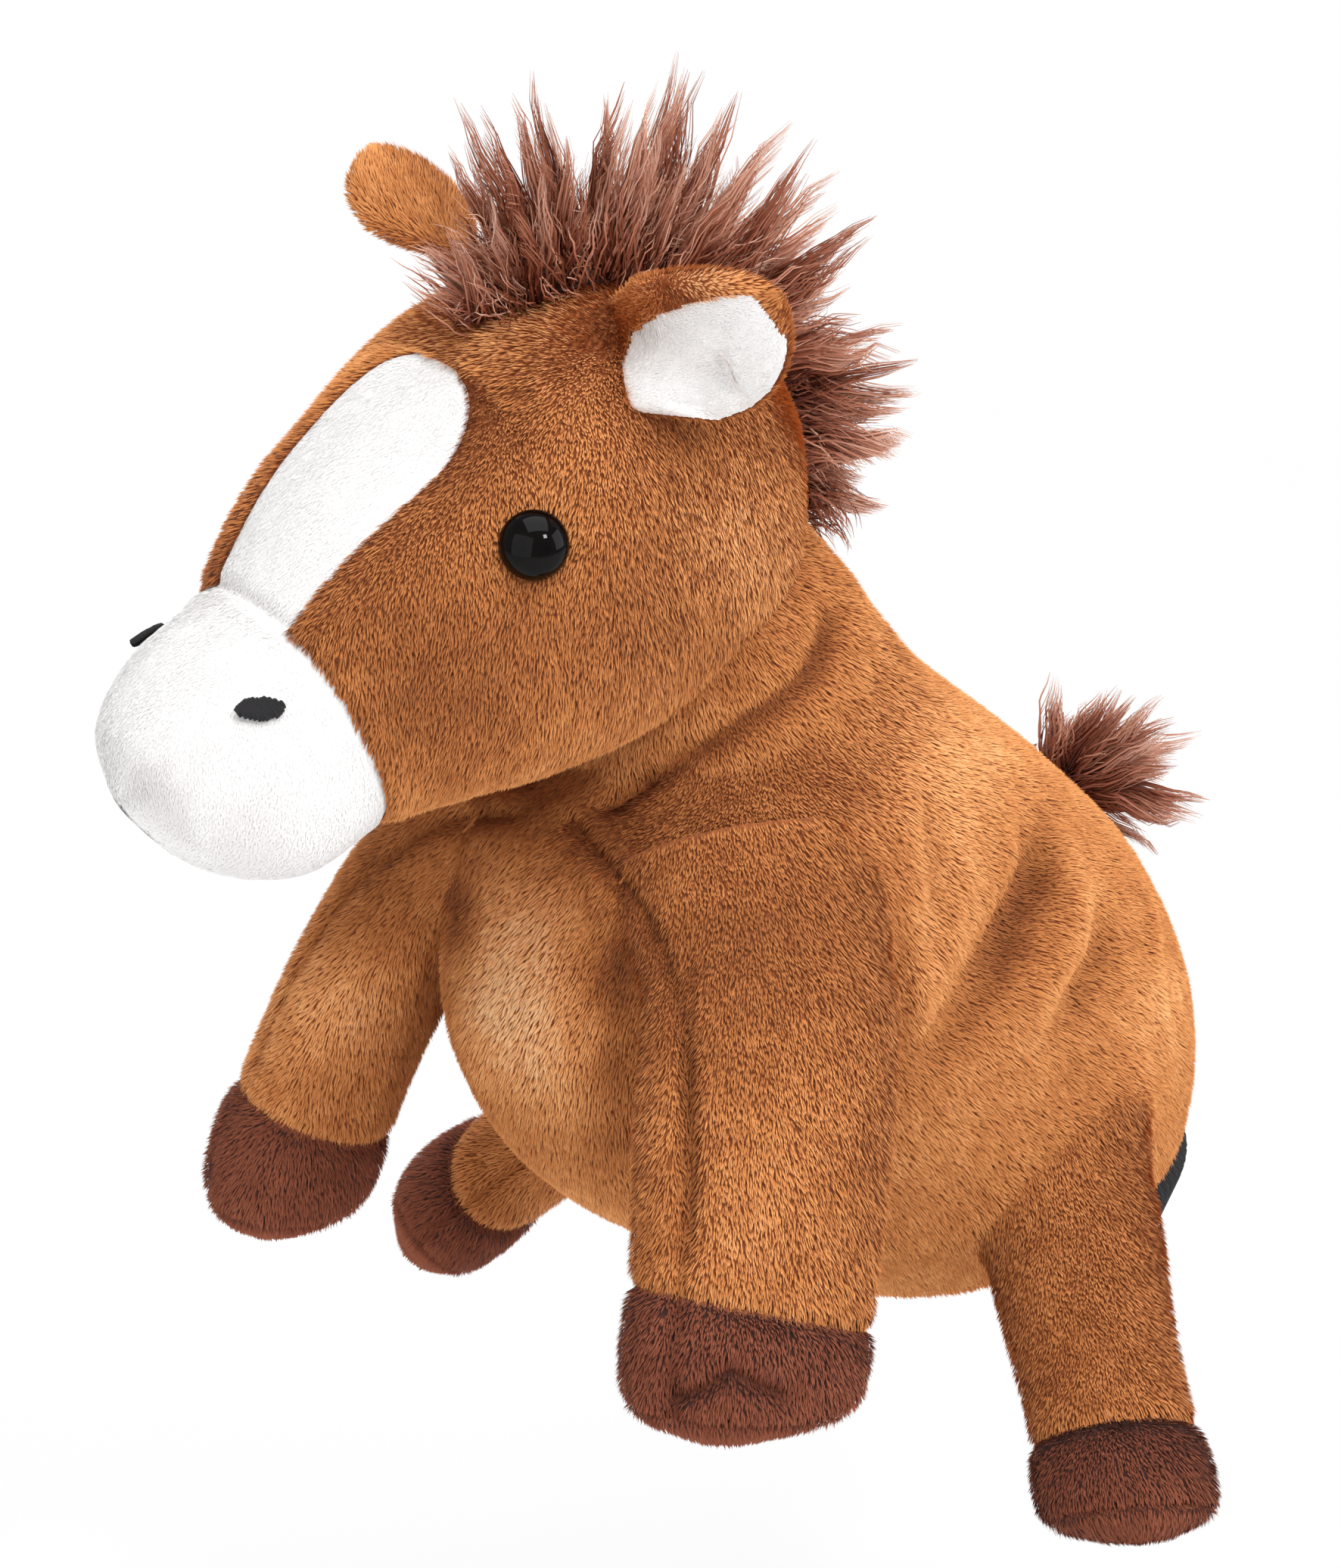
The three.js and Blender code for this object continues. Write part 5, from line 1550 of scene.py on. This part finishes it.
def thread_object():
    """One satin stitch, a metre long, that arches over the cloth."""
    rows, sides = THREAD_GRID
    t = np.linspace(-1, 1, rows)[:, None, None]
    turn = around(sides)[None, :, None]
    arch = (0, 0, THREAD_ARCH)
    spine = t * (0.5, 0, 0) + np.sqrt(1 - t**2) * arch - np.array((0, 0, THREAD_SUNK))
    points = spine + 0.5 * (np.cos(turn) * (0, 1, 0) + np.sin(turn) * arch)
    skin = Skin(points, spine + 0 * points, 0)
    return mesh_object("thread", points.reshape(-1, 3) / MM, skin.closed(), black_thread)


STITCH_UNEVEN = (0.92, 1.1)
STITCH_COUNT, STITCH_SPAN = 13, 0.94  # in a nostril, and how near its ends they go
STITCH_WIDTH, STITCH_HEIGHT, STITCH_LIFT = 0.95, 5, 0.5


def stitch_tree():
    """One stitch at each point of a base mesh."""
    graph = Growth("satin stitches", {"Thread": "Object", "Width": "Float"})
    up = graph.stand(graph.named("up", "FLOAT_VECTOR"))
    turn = graph.roll(up, "X", graph.named("lie", "FLOAT_VECTOR"))
    span = graph.named("span") * graph.chance(*STITCH_UNEVEN, graph.given("Seed"))
    size = graph.joined(span, graph.given("Width"), graph.named("rise"))
    points = graph.add("GeometryNodeMeshToPoints", None, {"Mesh": graph.base})
    return graph.finished(graph.copies(points, graph.object("Thread"), turn, size))


def build_nostrils():
    thread = thread_object()
    tree = stitch_tree()
    t = np.linspace(-STITCH_SPAN, STITCH_SPAN, STITCH_COUNT)
    for side, s in SIDES.items():
        along = NOSTRIL["along"] + t * NOSTRIL["half_along"]
        angle = np.radians(NOSTRIL["angle"] + t * NOSTRIL["lean"])
        half = np.radians(NOSTRIL["half_angle"]) * np.sqrt(1 - t**2)
        ends = [head.at(along, s * (angle + k * half)) for k in (-1, 1)]
        up = np.array([head.normal(a, s * g) for a, g in zip(along, angle)])
        attributes = {
            "up": up,
            "lie": unit(ends[1] - ends[0]),
            "span": np.linalg.norm(ends[1] - ends[0], axis=-1) * MM,
            "rise": np.full(STITCH_COUNT, STITCH_HEIGHT * MM),
        }
        places = (ends[0] + ends[1]) / 2 + STITCH_LIFT * up
        base = mesh_object(f"nostril_{side}_base", places, [], black_thread, attributes)
        width, seed = STITCH_WIDTH * MM, SEEDS["stitch"]
        inputs = {"Thread": thread, "Finish": black_thread, "Width": width, "Seed": seed}
        stitches = grown(f"nostril_{side}_stitches", base, tree, inputs)
        bpy.data.objects.remove(base)
        rides("head", stitches)
        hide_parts(f"nostril_{side}")
    bpy.data.objects.remove(thread)


LINING_DEPTH = 4.8  # of the lining's outside below the plush
RIBS, RIB_HEIGHT, RIB_COLUMNS = 110, 0.35, 6  # of the knitted band
BAND_ROWS, BAND_THICK = 26, 2
LINING_GRID, LINING_START = (60, 160), 0.03
LINING_WALL = (0.4, 1.6)  # depths of its two faces below the band's outside
LINING_GAP = 0.3  # between the lining and the band
WRINKLE = {"height": 0.5, "round": 5, "twist": 9, "along": 17}


def build_lining():
    angles = around(RIBS * RIB_COLUMNS)
    top = 1 - torso.share(1, BAND_HEIGHT)
    end = 1 - torso.share(1, BAND_LIFT) * (1 + np.cos(angles)) / 2
    band = top + (end - top) * np.linspace(0, 1, BAND_ROWS)[:, None]
    ribs = RIB_HEIGHT * np.cos(RIBS * angles)
    walls = [sleeve(band, angles, -LINING_DEPTH - depth, ribs) for depth in (0, BAND_THICK)]
    knit = shell("wrist_band_knit", *walls, black_knit)
    rows, columns = LINING_GRID
    angles = around(columns)
    grid = np.linspace(LINING_START, top - torso.share(top, LINING_GAP), rows)[:, None] + 0 * angles
    wrinkle = np.sin(WRINKLE["round"] * angles + WRINKLE["twist"] * grid)
    wrinkle = WRINKLE["height"] * wrinkle * np.sin(WRINKLE["along"] * grid)
    walls = [sleeve(grid, angles, -LINING_DEPTH - depth, wrinkle) for depth in LINING_WALL]
    cloth = shell("glove_lining_cloth", *walls, black_lining)
    rides("torso", knit, cloth)
    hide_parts("wrist_band")
    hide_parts("glove_lining")


BULGE_START = (-1, 5)  # the lining bulges over this way below the hem


def sleeve(grid, angles, offset, relief):
    skin = Skin(torso.at(grid, angles), torso.centre(grid), 0)
    skin.push(-fold_depth(skin.points, FOLDS, LINING_FOLD))
    below = (grid - hem_at(angles)) / torso.share(1, 1)
    skin.push(offset + relief + BAND_BULGE * (1 - np.cos(angles)) / 2 * smooth(*BULGE_START, below))
    return skin


def shell(name, outside, inside, finish):
    """A wall between two skins with the same grid, joined at both ends."""
    points = np.concatenate([outside.points, inside.points[::-1], outside.points[:1]])
    wall = Skin(points, (points + points[::-1]) / 2, 0)
    wall.sign = outside.sign
    return mesh_object(name, wall.points.reshape(-1, 3), wall.quads().reshape(-1, 4).tolist(), finish)


build_torso()
build_neck()
build_head()
build_mane()
build_tail()
build_eyes()
build_nostrils()
build_lining()
stuffing = inner_piece("head_stuffing", "head_filling", white_fibre, share=HEAD_STUFFING)
rides("head", stuffing)
for side in SIDES:
    build_ear(side)
for name in legs:
    build_leg(name, leg_of(name))
bpy.data.objects.remove(BLADE)

# CAD nodes that stay inside
INNER = {
    "head_finger_stall": black_lining,
    "eye_washer_left": white_plastic,
    "eye_washer_right": white_plastic,
    "foreleg_filling_left": white_fibre,
    "foreleg_filling_right": white_fibre,
}
for node, finish in INNER.items():
    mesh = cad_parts[node].data
    mesh.materials.clear()
    mesh.materials.append(finish)


# Studio. Lamps: place and size in metres, and power
LAMPS = {
    "top": ((0.2, -0.2, 1.5), 1.3, 14.5),
    "front": ((0.3, -1.6, 0.5), 1.6, 9),
    "back right": ((1.3, 0.8, 0.7), 1.2, 12),
    "back left": ((-1.2, 0.5, 0.8), 1.2, 6),
    "glint": ((1.03, -0.32, 1.02), 0.2, 6),
}
WORLD_LIGHT = 0.45  # of the world on the part. The camera sees it as white
FLOOR, FLOOR_HALF = -120, 3000
FLOOR_GREY = 0.86
GLOW = {1: 0.4, 2: 1.2, 3: 0.8, 4: 1.0}  # from near to far in metres, how white the camera sees the floor
WHITE = (1, 1, 1, 1)


def add_light(name, place, size, power):
    lamp = bpy.data.lights.new(name, "AREA")
    lamp.size = size
    lamp.energy = power
    holder = bpy.data.objects.new(name, lamp)
    place = Vector(place)
    holder.location = place
    holder.rotation_euler = (place - Vector(target * MM)).to_track_quat("Z", "Y").to_euler()
    bpy.context.collection.objects.link(holder)


def camera_mask(graph):
    return graph.add("ShaderNodeLightPath")


def floor_finish():
    made = bpy.data.materials.new("pale studio floor")
    made.use_nodes = True
    graph = Graph(made.node_tree)
    shader = made.node_tree.nodes["Principled BSDF"]
    shader.inputs["Base Color"].default_value = (FLOOR_GREY, FLOOR_GREY, FLOOR_GREY, 1)
    shader.inputs["Roughness"].default_value = 0.9
    glow = graph.add("ShaderNodeEmission", None, {"Color": WHITE, "Strength": 1.0})
    length = {"operation": "LENGTH"}
    away = graph.add("ShaderNodeVectorMath", length, {0: place_of(graph)}, output="Value")
    far = graph.add("ShaderNodeMapRange", None, {"Value": away, **GLOW})
    sockets = {0: camera_mask(graph) * far, 1: Wire(shader.outputs[0]), 2: glow}
    mixed = graph.add("ShaderNodeMixShader", None, sockets)
    graph.feed(made.node_tree.nodes["Material Output"].inputs["Surface"], mixed)
    return made


def add_studio():
    corners = [(-1, -1), (1, -1), (1, 1), (-1, 1)]
    points = [(x * FLOOR_HALF, y * FLOOR_HALF, FLOOR) for x, y in corners]
    mesh_object("floor", points, [(0, 1, 2, 3)], floor_finish())
    world = bpy.context.scene.world or bpy.data.worlds.new("studio")
    bpy.context.scene.world = world
    world.use_nodes = True
    graph = Graph(world.node_tree)
    background = world.node_tree.nodes["Background"]
    background.inputs["Color"].default_value = WHITE
    graph.feed(background.inputs["Strength"], camera_mask(graph) * (1 - WORLD_LIGHT) + WORLD_LIGHT)
    for name, values in LAMPS.items():
        add_light(name, *values)


add_studio()
bpy.context.scene.view_settings.view_transform = "Standard"
